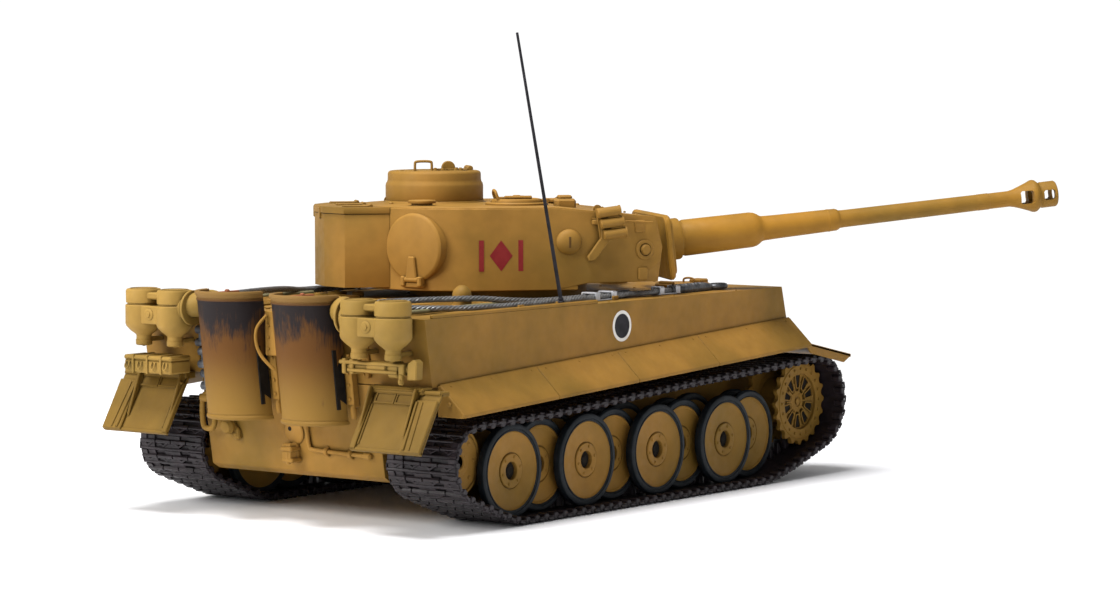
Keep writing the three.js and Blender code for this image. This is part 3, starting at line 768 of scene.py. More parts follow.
for side in SIDES:
    flip = HULL @ mirror(side)
    for index in range(AXLE_COUNT):
        wheel = outer_wheel() if index % 2 == 0 else inner_wheel()
        name = f"road_wheel_{side}_{index + 1}"
        axle = flip @ at(index * AXLE_PITCH, 0, WHEEL_Z)
        wheel.dress(name, "dressed", f"{side}_wheel_{index + 1}", "wheel_paint", axle)
    idler_wheel().finish(
        f"idler_{side}_dressed", f"{side}_idler", "wheel_paint", flip @ at(IDLER_X, 0, IDLER_Z),
        (f"idler_wheel_{side}",),
    )
    drive_sprocket().finish(
        f"sprocket_{side}_dressed", f"{side}_drive", "wheel_paint",
        flip @ at(SPROCKET_X, 0, SPROCKET_Z), (f"drive_sprocket_{side}",),
    )

# Tracks

LINK_COUNT = 96


def arc(x, z, radius, start, end, steps):
    angles = [math.radians(start + (end - start) * i / steps) for i in range(steps + 1)]
    return [(x + radius * math.cos(a), z + radius * math.sin(a)) for a in angles]


def track_line():
    """The closed line that the wheels run on, from the nose over the top and back along the ground."""
    corners = [
        *arc(183.5, 28.3, 16.8, -70, 88, 22),
        (141.6, 43.25), (102.7, 41.6), (60, 39.1), (18.5, 36.8),
        *arc(IDLER_X, IDLER_Z, 12.7, 92, 246, 20),
        (-3, 1.5), (151, 1.5), (168, 5.7),
    ]
    return [Vector((x, 0, z)) for x, z in corners]


def stations(line, count):
    """Evenly spaced points along a closed line."""
    loop = line + [line[0]]
    reach = [0.0]
    for a, b in zip(loop, loop[1:]):
        reach.append(reach[-1] + (b - a).length)
    points, leg = [], 0
    for i in range(count):
        goal = reach[-1] * i / count
        while reach[leg + 1] < goal:
            leg += 1
        share = (goal - reach[leg]) / (reach[leg + 1] - reach[leg])
        points.append(loop[leg].lerp(loop[leg + 1], share))
    return points


def track_link(pitch):
    """One cast link: t runs along the track as x, w across it as y, and z points away from the wheels."""
    half = pitch / 2
    link = Shape(TRACK)
    for low, high in ((43.1, 49.6), (54.2, 61.7), (66.3, 72.9)):
        link.add(box((-half + 0.35, half - 0.35), (low, high), (0.1, 0.85), 0.2))
    link.add(box((-half - 0.25, half + 0.25), (43.0, 73.0), (-0.2, 0.15), 0.08))
    link.add(moved(lathe("y", [(0, 42.9), (0.62, 42.9), (0.62, 73.1), (0, 73.1)], 10), at(half, 0, 0.5)))
    link.add(moved(lathe("y", [(0, 42.9), (0.5, 42.9), (0.5, 73.1), (0, 73.1)], 8), at(0.0, 0, 0.75)))
    for low, high in ((43.1, 50.3), (50.8, 57.7), (58.2, 65.2), (65.7, 72.9)):
        link.add(prism("xz", [(-0.95, 0.6), (0.95, 0.6), (0.5, 1.65), (-0.5, 1.65)], low, high, 0.12))
    for middle in (46.6, 54.2, 61.8, 69.4):
        ridge = prism("xy", [
            (-0.45, -2.6), (0.35, -2.6), (1.9, 0), (0.35, 2.6), (-0.45, 2.6), (1.0, 0),
        ], 0.7, 1.3, 0.1)
        link.add(ridge, at(0.2, middle, 0))
    link.add(prism("xz", [(-1.5, 0.3), (-0.65, -4.3), (0.45, -4.4), (1.5, 0.3)], 57.4, 59.4, 0.2))
    for low, high, end in ((69.4, 73.2, 73.7), (42.7, 46.5, 42.2)):
        link.add(prism("xz", [
            (-1.3, 0.9), (-1.3, -0.7), (-0.8, -1.25), (0.8, -1.25), (1.3, -0.7), (1.3, 0.9),
        ], low, high, 0.3))
        link.add(box((0.5, half + 0.6), sorted((end, high if end > high else low)), (0.05, 1.05), 0.25))
        link.add(box((-half + 0.2, -0.6), (low + 0.4, high - 0.4), (0.7, 1.45), 0.2))
    return link.points, link.faces


def track(side):
    points = stations(track_line(), LINK_COUNT)
    pitch = (points[1] - points[0]).length
    solid = track_link(pitch)
    band = Shape(TRACK)
    for i, here in enumerate(points):
        there = points[(i + 1) % LINK_COUNT]
        along = (there - here).normalized()
        across = Vector((0, 1, 0))
        out = across.cross(along)
        turn = Matrix((along, across, out)).transposed().to_4x4()
        band.add(solid, Matrix.Translation((here + there) / 2) @ turn)
    band.dress(f"track_{side}", "links", "hull", "track", HULL @ mirror(side))


for side in SIDES:
    track(side)

# Hull sides, skirts and mudguards

eased_node("lower_hull", "hull", SAND, 0.2)
eased_node("upper_hull", "hull", SAND, 0.3)

SKIRT_SECTION = [(65.8, 52.6), (65.8, 51), (76.2, 41.9), (77, 41.9), (77, 43.1), (66.9, 52.6)]
SKIRT_SEAMS = [-38, 14.3, 61.2, 110.9, 172]
SKIRT_RISE = Matrix(((1, 0, 0, 0), (0, 1, 0, 0), (0.05, 0, 1, 0), (0, 0, 0, 1)))
SKIRT_NORMAL = (0, 0.685, 0.728)


def side_skirt(side):
    """Four sloping plates hung under the sponson, with a plate that closes the rear end."""
    plates = Shape(SAND)
    for start, end in zip(SKIRT_SEAMS, SKIRT_SEAMS[1:]):
        plates.add(prism("yz", SKIRT_SECTION, start + 0.12, end - 0.12, 0.22), SKIRT_RISE)
    closer = [(65.8, 52.3), (65.8, 41.9), (76.6, 41.9), (77, 43.1), (66.9, 52.4)]
    plates.add(prism("yz", closer, SKIRT_SEAMS[0] - 0.7, SKIRT_SEAMS[0] + 0.4, 0.2), SKIRT_RISE)
    plates.add(moved(rivet(0.9, 0.6), toward((-1, 0, 0), (SKIRT_SEAMS[0] - 0.7, 71, 44.4))))
    plates.add(rod((SKIRT_SEAMS[0], 66.15, 52.45), (SKIRT_SEAMS[-1], 66.15, 52.45), 0.35, 8), SKIRT_RISE)
    for start, end in zip(SKIRT_SEAMS, SKIRT_SEAMS[1:]):
        for x in (start + 4, (start + end) / 2, end - 4):
            plates.add(moved(rivet(0.42, 0.22), SKIRT_RISE @ toward(SKIRT_NORMAL, (x, 67.7, 51.85))))
    plates.dress(f"side_skirt_{side}", "plates", "hull", "hull_paint", HULL @ mirror(side))


def front_mudguard(side):
    guard = Shape(SAND)
    outline = [(172.6, 50.9), (173.4, 51.9), (204, 45.5), (203.8, 44.3)]
    guard.add(prism("xz", outline, 43, 74, 0.25))
    slope = Vector((30.6, 0, -6.4)).normalized()
    for y in (46, 58.5, 71):
        guard.add(rod((175, y, 51.6), (202, y, 45.95), 0.45, 8))
    guard.add(prism("xz", [
        (172.8, 51.2), (173.4, 51.9), (203.6, 45.6), (203.4, 44.6), (199, 42.6), (176, 47.6),
    ], 73.2, 74, 0.2))
    guard.add(rod((172.9, 43.5, 52.1), (172.9, 73.5, 52.1), 0.75, 10))
    for y in (48, 64):
        guard.add(box((170.6, 175.5), (y, y + 4.5), (51.9, 52.6), 0.2))
        for shift in (1.2, 3.3):
            guard.add(moved(bolt(0.45, 0.35), toward((-slope.z, 0, slope.x), (174.6, y + shift, 52.4))))
    guard.dress(f"front_mudguard_{side}", "plates", "hull", "pale_paint", HULL @ mirror(side))


GUARD_TOP = Vector((-45.3, 0, 48.7))
GUARD_DOWN = Vector((-11.9, 0, -20.0)).normalized()
GUARD_OUT = Vector((GUARD_DOWN.z, 0, -GUARD_DOWN.x))


def rear_mudguard(side):
    """A hinged flap drawn flat: a down its slope as x, b across as y, and c out of it as z."""
    slope = Matrix((GUARD_DOWN, (0, 1, 0), GUARD_OUT)).transposed().to_4x4()
    flap = Matrix.Translation(GUARD_TOP) @ slope
    # the flaps use the pale sand paint darkened with painted shade
    guard = Shape(PALE_IN_SHADE)
    guard.add(box((0, 22.6), (42.4, 73.2), (-0.9, 0), 0.2), flap)
    guard.add(box((21.6, 22.9), (42.4, 73.2), (-1.1, 0.35), 0.25), flap)
    guard.add(box((3.2, 22.4), (42.4, 44.6), (-0.2, 0.9), 0.25), flap)
    guard.add(box((3.2, 22.7), (64.4, 73.2), (-0.2, 1.1), 0.3), flap)
    rib = rod((4.2, 64.9, 1.25), (21.9, 66.1, 1.25), 0.55, 8)
    guard.add(rib, flap)
    guard.add(rod((4.2, 67.2, 1.2), (21.9, 68.6, 1.2), 0.35, 8), flap)
    guard.add(rod((5.6, 45.2, 0.2), (20.6, 45.2, 0.2), 0.35, 8), flap)
    guard.add(box((0.6, 5.4), (45.4, 63.9), (-0.2, 0.35), 0.15), flap)
    for low, high in ((46.4, 53.9), (55.3, 62.9)):
        guard.add(collar("xy", [(0.9, low - 0.5), (5.2, low - 0.5), (5.2, high + 0.5), (0.9, high + 0.5)],
                         [(1.6, low), (4.6, low), (4.6, high), (1.6, high)], 0.2, 0.75), flap)
    gusset = prism("xz", [(0, 0), (17.5, 0), (16.5, 0.8), (1.6, 3.0), (0, 3.0)], 43.2, 44.2, 0.25)
    guard.add(gusset, flap)
    guard.add(gusset, flap @ at(0, 19.9, 0))
    guard.add(moved(rivet(0.8, 0.6), toward((0, -1, 0), (3.6, 43.2, 1.5))), flap)
    guard.add(box((-46.8, -41.2), (42.6, 66.0), (47.6, 50.1), 0.5))
    guard.add(box((-47.2, -45.2), (44.2, 65.8), (48.9, 49.6), 0.25))
    guard.add(box((-45.8, -41.2), (65.6, 73.2), (47.6, 49.2), 0.3))
    guard.add(rod((-45.4, 45, 48.6), (-45.4, 72.8, 48.6), 0.8, 10))
    guard.dress(f"rear_mudguard_{side}", "plates", "hull", "pale_paint", HULL @ mirror(side))


for side in SIDES:
    side_skirt(side)
    front_mudguard(side)
    rear_mudguard(side)

# Rear plate: exhausts, air filters, stowage and tow gear

EXHAUST_Y = 17.3
FOOT_X, FOOT_Z = -43.3, 35.5
HEAD_X, HEAD_Z = -49.0, 80.4
SHROUD_RUN = (HEAD_X - FOOT_X) / (HEAD_Z - FOOT_Z)
SHROUD_LEAN = Matrix((
    (1, 0, SHROUD_RUN, FOOT_X - SHROUD_RUN * FOOT_Z), (0, 1, 0, 0), (0, 0, 1, 0), (0, 0, 0, 1),
))


def notch_bands(low=42.5, full_from=45.5, full_to=53.5, high=60.0, depth=20):
    """Thin rings from the bottom of the notch to its top, each with the degrees that are cut from it."""
    bands = [(full_from, full_to, depth)]
    for start, end in ((low, full_from), (high, full_to)):
        count = round(abs(end - start) / 0.4)
        for i in range(count):
            a, b = (start + (end - start) * k / count for k in (i, i + 1))
            bands.append((min(a, b), max(a, b), depth * (i + 0.5) / count))
    return bands


def exhaust_shroud(side):
    """A half-round sheet with rolled lips, notched at the right-hand edge, seen from behind."""
    sheet = Shape(SOOT)
    y = EXHAUST_Y
    foot = [
        (11.9, 35.5), (13.1, 35.5), (13.45, 35.9), (13.45, 36.6), (13.1, 37.0), (12.95, 37.2), (13.05, 37.7),
        (12.9, 38.1), (12.9, 42.5), (11.9, 42.5), (11.9, 35.5),
    ]
    head = [
        (11.9, 60.0), (12.9, 60.0), (12.9, 76.6), (13.1, 76.9), (13.25, 77.3), (13.1, 77.7), (12.95, 77.95),
        (13.2, 78.4), (13.55, 79.0), (13.6, 79.7), (13.3, 80.3), (12.6, 80.4), (11.9, 80.1), (11.9, 60.0),
    ]
    cut_at_start = side == "right"
    bands = [(foot, 0), (head, 0)]
    for low, high, cut in notch_bands():
        bands.append(([(11.9, low), (12.9, low), (12.9, high), (11.9, high), (11.9, low)], cut))
    for outline, cut in bands:
        sheet.add(lathe("z", outline, 40, 90 + cut * cut_at_start, 180 - cut), SHROUD_LEAN @ at(0, y, 0))
    edges = [(y - 12.6, 35.8, 80.2), (y + 12.6, 35.8, 80.2)]
    notched = 1 if cut_at_start else 0
    edges[notched] = (edges[notched][0], 60.0, 80.2)
    for edge, low, high in edges:
        sheet.add(tube([SHROUD_LEAN @ Vector((0.3, edge, z)) for z in (low, high)], 0.55, 8))
    behind = sorted((edges[notched][0], y + (edges[notched][0] - y) * 0.55))
    # painted shade: a near-black box behind the notch for the shade inside the shroud
    sheet.add(box((-4.5, 0.4), behind, (41.0, 61.5), 0), SHROUD_LEAN, material=HOLLOW_SHADE)
    hinge = [SHROUD_LEAN @ Vector((1.3, y - 13.6, z)) for z in (59.5, 72.0)]
    sheet.add(tube(hinge, 0.85, 10), material=RUST)
    for z in (59.8, 71.8):
        sheet.add(
            moved(drum("z", 1.15, -0.7, 0.7, 0.2, 14), at(*(SHROUD_LEAN @ Vector((1.3, y - 13.6, z))))),
            material=RUST,
        )
    sheet.dress(f"exhaust_shroud_{side}", "sheet", "hull", "exhaust_paint", HULL @ mirror(side))


def shroud_bracket(side):
    """The bolted strap between the shroud and the rear plate, with a pipe end below it."""
    strap = Shape(SAND)
    y = EXHAUST_Y + 14.6 if side == "right" else EXHAUST_Y - 15.2
    line = SHROUD_LEAN @ at(1.5, y, 0)
    strap.add(box((-1.0, 2.4), (-0.9, 0.9), (41.5, 60.0), 0.3), line)
    strap.add(box((-1.5, -0.7), (-1.5, 1.5), (42.5, 58.6), 0.25), line)
    for z in (44.6, 49.4, 53.4, 57.4):
        strap.add(moved(bolt(0.55, 0.5), toward((-1, 0, 0), (-1.5, 0, z))), line)
    strap.add(moved(lathe("z", [
        (0, 37.6), (0.8, 37.6), (1.25, 38.6), (1.25, 41.0), (0.7, 42.2), (0, 42.2),
    ], 14), at(-0.4, 0, 0)), line)
    strap.finish(f"shroud_bracket_{side}", "hull", "hull_paint", HULL @ mirror(side))


def silencer_cap(side):
    cap = Shape(RUST)
    place = SHROUD_LEAN @ at(-3.2, EXHAUST_Y, 0)
    cap.add(lathe("z", [
        (5.5, 76.0), (6.6, 76.4), (6.6, 77.6), (5.8, 78.8), (3.4, 79.5), (0, 79.6), (0, 78.7),
        (5.5, 78.6), (5.5, 76.0),
    ], 36), place)
    cap.add(box((-5.6, 5.6), (-0.6, 0.6), (79.2, 80.1), 0.2), place)
    cap.add(moved(rivet(1.0, 0.8), at(0, 0, 79.9)), place)
    cap.finish(f"silencer_cap_{side}", "hull", "exhaust_paint", HULL @ mirror(side))


FILTER_X = -52
FILTER_Y = (42.5, 57.5)


def air_filter(side):
    """Two drum canisters on funnels, joined by a strap with a boss, a duct and a clamp ring."""
    filters = Shape(PALE)
    canister = [
        (0, 59.5), (2.5, 59.5), (2.9, 59.9), (2.9, 61.4), (2.7, 61.7), (2.7, 63.0), (3.1, 63.5),
        (4.8, 64.8), (6.1, 66.2), (6.5, 67.2), (6.5, 73.6), (6.3, 73.9), (5.8, 74.0), (5.8, 74.5),
        (6.25, 74.65), (6.3, 78.7), (5.9, 79.4), (5.4, 79.5), (0, 79.5),
    ]
    for y in FILTER_Y:
        filters.add(lathe("z", canister, 44), at(FILTER_X, y, 0))
        filters.add(lathe("z", [
            (4.6, 79.3), (4.9, 79.3), (4.9, 79.7), (4.6, 79.7), (4.6, 79.3),
        ], 40), at(FILTER_X, y, 0))
    filters.add(box((FILTER_X - 5.3, FILTER_X + 2), (43.5, 56.5), (67.4, 73.7), 0.3))
    filters.add(box((FILTER_X - 3.6, FILTER_X + 2), (46.5, 53.5), (76.0, 78.4), 0.5))
    boss = lathe("z", [(0, -0.4), (2.1, -0.4), (2.1, 0.2), (1.5, 0.5), (1.1, 0.5), (1.0, 0.9), (0, 1.0)], 24)
    filters.add(moved(boss, toward((-1, 0, 0), (FILTER_X - 5.3, 50.0, 70.8))))
    elbow = curve([
        (FILTER_X + 1, 37.5, 73.4), (FILTER_X + 2.2, 33.6, 74.6), (FILTER_X + 5.6, 31.0, 75.4),
        (FILTER_X + 9.5, 30.2, 75.0),
    ], 5)
    last = len(elbow) - 1
    filters.add(tube(elbow, [3.6 + 0.9 * math.sin(math.pi * i / last) for i in range(last + 1)], 20))
    ring = lathe("y", [
        (3.6, -0.5), (6.0, -0.5), (6.2, -0.3), (6.2, 0.3), (6.0, 0.5), (3.6, 0.5), (3.6, -0.5),
    ], 36)
    filters.add(ring, at(FILTER_X + 1.6, 35.4, 73.4))
    filters.add(lathe("y", [
        (0, 35.6), (4.6, 35.6), (5.6, 37.0), (5.6, 40.6), (4.6, 41.4), (0, 41.4),
    ], 32), at(FILTER_X + 1.6, 0, 73.0))
    filters.add(drum("x", 2.3, FILTER_X, rear_x(66) + 1.0, 0.2, 20), at(0, 50, 68))
    for y in FILTER_Y:
        filters.add(box((FILTER_X, rear_x(62) + 1.0), (y - 1.1, y + 1.1), (60.6, 62.2), 0.3))
        filters.add(moved(rivet(0.9, 0.5), toward((0, 0, -1), (FILTER_X, y, 59.6))))
    filters.dress(f"air_filter_{side}", "canisters", "hull", "pale_paint", HULL @ mirror(side))


for side in SIDES:
    exhaust_shroud(side)
    shroud_bracket(side)
    silencer_cap(side)
    air_filter(side)


def stowage_box():
    """A strapped tool box with three pull handles on its end."""
    chest = Shape(PALE)
    chest.add(box((-57.0, -46.6), (40.0, 62.5), (50.0, 54.6), 0.5))
    chest.add(box((-57.3, -46.4), (39.8, 62.7), (54.5, 56.2), 0.6))
    for y in (44.6, 51.2, 57.9):
        chest.add(box((-57.6, -46.4), (y - 0.45, y + 0.45), (49.8, 56.5), 0.2))
    for y in (42.2, 48.0, 54.6, 60.4):
        handle = curve([
            (-57.2, y - 0.8, 54.0), (-58.0, y - 0.8, 52.2), (-58.0, y, 51.5), (-58.0, y + 0.8, 52.2),
            (-57.2, y + 0.8, 54.0),
        ], 3)
        chest.add(tube(handle, 0.28, 6))
    chest.add(box((-47.5, -43.6), (44, 47), (49.6, 51.4), 0.2))
    chest.add(box((-47.5, -43.6), (56, 59), (49.6, 51.4), 0.2))
    chest.dress("stowage_box", "dressed", "hull", "pale_paint")


def jack():
    """A screw jack lying in two brackets over the right mudguard."""
    tool = Shape(PALE)
    x, z = -48.2, 56.5
    tool.add(drum("y", 1.5, -62.0, -33.5, 0.3, 20), at(x, 0, z))
    tool.add(drum("y", 2.2, -52.5, -44.0, 0.4, 24), at(x, 0, z))
    tool.add(drum("y", 0.7, -60.0, -32.2, 0.2, 12), at(x - 1.9, 0, z + 1.4))
    tool.add(drum("y", 0.6, -58.0, -36.0, 0.2, 12), at(x - 2.2, 0, z - 1.2))
    tool.add(box((x - 2.0, x + 2.0), (-58.0, -53.4), (z - 3.0, z + 2.4), 0.5))
    foot = [(-61.6, z - 3.6), (-65.6, z - 3.4), (-65.9, z + 2.6), (-64.4, z + 3.6), (-61.9, z + 2.0)]
    tool.add(prism("yz", foot, x - 1.8, x + 2.0, 0.35))
    tool.add(box((x - 2.7, x + 2.2), (-60.9, -58.6), (z - 2.0, z + 2.0), 0.3))
    for y in (-37.6, -34.2):
        tool.add(box((x - 2.4, x + 2.4), (y - 0.9, y + 0.9), (z - 2.6, z + 2.6), 0.35))
    tool.add(box((x - 3.2, x - 1.6), (-60.6, -59.0), (z - 5.2, z - 1.6), 0.3))
    tool.add(moved(rivet(0.7, 0.5), toward((-1, 0, 0), (x - 3.2, -59.8, z - 4.0))))
    for y in (-56.6, -38.0):
        tool.add(box((x - 1, rear_x(z) + 1.0), (y - 1.2, y + 1.2), (z - 1.2, z + 1.0), 0.2))
    tool.dress("jack", "dressed", "hull", "pale_paint")


def leaned(y, z, out=0.0):
    """A point on the rear plate at a height, or out from it."""
    lower = rear_x(z)
    return Vector((lower - out, y, z))


def rear_plate_fittings():
    fittings = Shape(SAND)
    back = (-1, 0, -REAR_LEAN)
    cover = lathe("z", [(0, -0.5), (4.4, -0.5), (4.4, 0.5), (4.0, 0.8), (0, 0.9)], 40)
    fittings.add(cover, toward(back, leaned(-1.0, 31.0)))
    # painted shade: a near-black disc in the cover's opening
    fittings.add(
        moved(drum("z", 0.8, 0.7, 0.95, 0.05, 16), toward(back, leaned(0.4, 32.2))), material=HOLLOW_SHADE,
    )
    fittings.add(moved(lathe("z", [
        (0, -0.3), (1.5, -0.3), (1.5, 0.9), (1.0, 1.5), (0, 1.6),
    ], 20), toward(back, leaned(-1.2, 26.0, 0.3))))
    for z in (21.2, 25.2):
        fittings.add(box((rear_x(z) - 5.2, rear_x(z) + 1.0), (-2.9, 2.2), (z - 0.8, z + 0.8), 0.4))
    fittings.add(drum("z", 0.85, 19.8, 26.8, 0.25, 14), at(rear_x(23) - 4.0, -0.4, 0))
    fittings.add(box((rear_x(23) - 1.6, rear_x(23) + 1.0), (-2.4, 2.4), (20.0, 26.4), 0.4))
    pipe = curve([
        leaned(-7.4, 36, 0.7), leaned(-7.6, 29, 0.9), leaned(-7.9, 26.4, 0.9), leaned(-9.4, 25.3, 1.0),
        leaned(-17, 25.0, 1.0), leaned(-27, 24.7, 1.0), leaned(-36, 24.4, 1.0),
    ], 5)
    fittings.add(tube(pipe, 0.75, 12))
    for y, z in ((-15.6, 25.0), (-26.4, 24.7)):
        fittings.add(moved(drum("z", 1.35, -0.8, 0.8, 0.2, 18), toward((0, 1, 0.03), leaned(y, z, 1.0))))
        fittings.add(box((rear_x(z) - 1.0, rear_x(z) + 1), (y - 0.7, y + 0.7), (z - 1.8, z + 1.8), 0.2))
    fittings.add(moved(drum("z", 1.15, -1.6, 1.6, 0.3, 16), toward((0, 1, 0.03), leaned(-34.0, 24.5, 1.0))))
    fittings.add(box((rear_x(46) - 1.4, rear_x(46) + 1), (-3.9, 4.1), (38.9, 70.5), 0.3))
    fittings.add(box((-48.2, -44.0), (-3.4, 3.6), (58, 73.6), 0.4))
    for z in (60.5, 64.5, 68.5):
        fittings.add(moved(bolt(0.5, 0.5), toward((-1, 0, 0), (-48.2, 1.8, z))))
    guard = curve([
        (-49.0, 2.0, 72.0), (-52.0, 3.7, 68.0), (-52.4, 3.9, 63.0), (-51.2, 2.4, 58.0),
        (-48.6, -1.4, 53.0),
    ], 5)
    fittings.add(tube(guard, 0.6, 10))
    knob = lathe("z", [(0, -0.5), (2.4, -0.5), (2.4, 0.6), (2.8, 1.2), (2.8, 2.6), (2.0, 3.8), (0, 4.2)], 28)
    fittings.add(knob, toward(back, leaned(28.4, 31.6)))
    fittings.add(prism("yz", [
        (24.2, 30.4), (28.0, 33.0), (28.6, 29.0), (26.2, 26.4), (24.0, 27.2),
    ], rear_x(30) - 1.5, rear_x(30) + 1, 0.4))
    fittings.add(moved(rivet(0.8, 0.6), toward(back, leaned(25.6, 28.4, 1.5))))
    shackle = curve([
        (0, 0, 6.4), (0, 2.6, 4.6), (0, 3.0, -1.6), (0, 2.0, -5.8), (0, -2.0, -5.8), (0, -3.0, -1.6),
        (0, -2.6, 4.6),
    ], 5, True)
    fittings.add(tube(shackle, 1.0, 12, True), at(rear_x(36) - 2.6, 36.4, 36.4))
    fittings.add(moved(drum("y", 1.5, -3.4, 3.4, 0.3, 20), at(rear_x(41) - 1.8, 36.4, 41.0)))
    fittings.add(moved(drum("x", 2.0, -3.4, 1.0, 0.5, 24), at(rear_x(37), 34.6, 37.6)))
    for y in (-38.9, 38.9):
        fittings.add(box((rear_x(60) - 0.9, rear_x(60) + 1.2), (y - 0.6, y + 0.6), (52, 71), 0.25))
    for y in (-36, -12.4, 12.4, 36):
        for z in (53, 69.5):
            fittings.add(moved(rivet(0.5, 0.4), toward(back, leaned(y, z, 0.0))))
    fittings.finish("rear_plate_fittings", "hull", "hull_paint")


def spare_links():
    """Three spare links hung beside the left exhaust."""
    links = Shape(GUNMETAL)
    for z in (47.6, 55.4, 63.2):
        x = rear_x(z)
        links.add(box((x - 2.0, x + 0.6), (33.4, 37.0), (z - 3.7, z + 3.7), 0.6))
        links.add(drum("y", 1.5, 32.4, 38.0, 0.4, 20), at(x - 2.2, 0, z - 2.2))
        links.add(drum("y", 1.5, 32.4, 38.0, 0.4, 20), at(x - 2.2, 0, z + 2.2))
        links.add(box((x - 3.8, x - 1.6), (34.4, 36.0), (z - 1.6, z + 1.6), 0.4))
    links.finish("spare_links", "hull", "track")


stowage_box()
jack()
rear_plate_fittings()
spare_links()

# Deck

CABLE_Z = 74.6
CABLE_ROUTE = [
    (140, 55.5, CABLE_Z), (110, 56, CABLE_Z), (80, 56.4, CABLE_Z), (50, 57.5, CABLE_Z), (20, 58.5, CABLE_Z),
    (-6, 56.5, 74.7), (-25, 49.5, 75.2), (-36, 42, 76.2), (-39.5, 38.4, 76.9), (-36.5, 35.6, 77.1),
    (-28, 36.5, 77.2), (-10, 41, 77.1), (8, 45.5, 76.6), (22, 49, 75.4), (36, 51.6, CABLE_Z),
    (58, 53.2, CABLE_Z), (80, 53.6, CABLE_Z),
]
STRANDS = 5


def tow_cable(side):
    """A laid steel rope, clipped to the deck, with a swaged sleeve and eye at its front end."""
    rope = Shape(CABLE)
    line = curve(CABLE_ROUTE, 24)
    frames = sections(line)
    reach = 0.0
    turns = [0.0]
    for a, b in zip(line, line[1:]):
        reach += (b - a).length
        turns.append(2 * math.pi * reach / 9.0)
    for strand in range(STRANDS):
        phase = 2 * math.pi * strand / STRANDS
        path = [
            point + 0.64 * (math.cos(turn + phase) * normal + math.sin(turn + phase) * side_way)
            for (point, normal, side_way), turn in zip(frames, turns)
        ]
        rope.add(tube(path, 0.45, 8))
    # painted shade: a near-black core under the strands, seen in the gaps between them
    rope.add(tube(line[::3], 0.5, 6), material=HOLLOW_SHADE)
    front = line[0]
    socket = at(0, front.y + 0.3, CABLE_Z)
    rope.add(lathe("x", [
        (0, 109.0), (1.6, 109.0), (1.9, 110.0), (1.95, 127.0), (1.75, 131.5), (1.2, 134.5), (0, 134.5),
    ], 24), socket, material=GUNMETAL)
    ribs = [socket @ at(111.5 + 2.2 * i, 0, 0) for i in range(8)]
    rope.add(drum("x", 2.05, -0.45, 0.45, 0.2, 24), *ribs, material=GUNMETAL)
    eye = [Vector((3.6 * math.cos(a), 2.3 * math.sin(a), 0)) for a in (math.pi * k / 12 for k in range(24))]
    rope.add(tube(eye, 1.1, 10, True), at(139.6, front.y + 0.3, CABLE_Z), material=GUNMETAL)
    rear_end = line[-1]
    rope.add(drum("x", 1.35, -4, 4, 0.3, 20), at(rear_end.x + 2, rear_end.y, CABLE_Z), material=GUNMETAL)
    for x, low, high in ((66.2, 51.6, 58.6), (106.4, 53.4, 58.0)):
        rope.add(box((x - 6.6, x + 6.6), (low, high), (73.3, 73.8), 0.2), material=CLAMP)
        for middle in (x - 5.0, x + 5.0):
            strap = (middle - 1.3, middle + 1.3)
            rope.add(box(strap, (low + 0.2, high - 0.2), (75.7, 76.4), 0.25), material=CLAMP)
            for y in (low + 0.5, high - 0.5):
                rope.add(box(strap, (y - 0.45, y + 0.45), (73.4, 76.2), 0.2), material=CLAMP)
        rope.add(moved(rivet(0.7, 0.5), at(x, low + 0.8, 73.8)), material=CLAMP)
    rope.dress(f"tow_cable_{side}", "rope", "hull", "steel_cable", HULL @ mirror(side))


def grille(x, y, bars):
    """A louvred cooling intake in the deck."""
    return joined(
        box((x[0], x[1]), (y[0], y[0] + 1.2), (DECK_Z - 0.2, DECK_Z + 0.9), 0.2),
        box((x[0], x[1]), (y[1] - 1.2, y[1]), (DECK_Z - 0.2, DECK_Z + 0.9), 0.2),
        box((x[0], x[0] + 1.2), y, (DECK_Z - 0.2, DECK_Z + 0.9), 0.2),
        box((x[1] - 1.2, x[1]), y, (DECK_Z - 0.2, DECK_Z + 0.9), 0.2),
        *(
            box((x[0] + 0.8, x[1] - 0.8), (a - 0.35, a + 0.35), (DECK_Z - 0.1, DECK_Z + 0.7), 0.15)
            for a in (y[0] + (y[1] - y[0]) * (i + 1) / (bars + 1) for i in range(bars))
        ),
    )


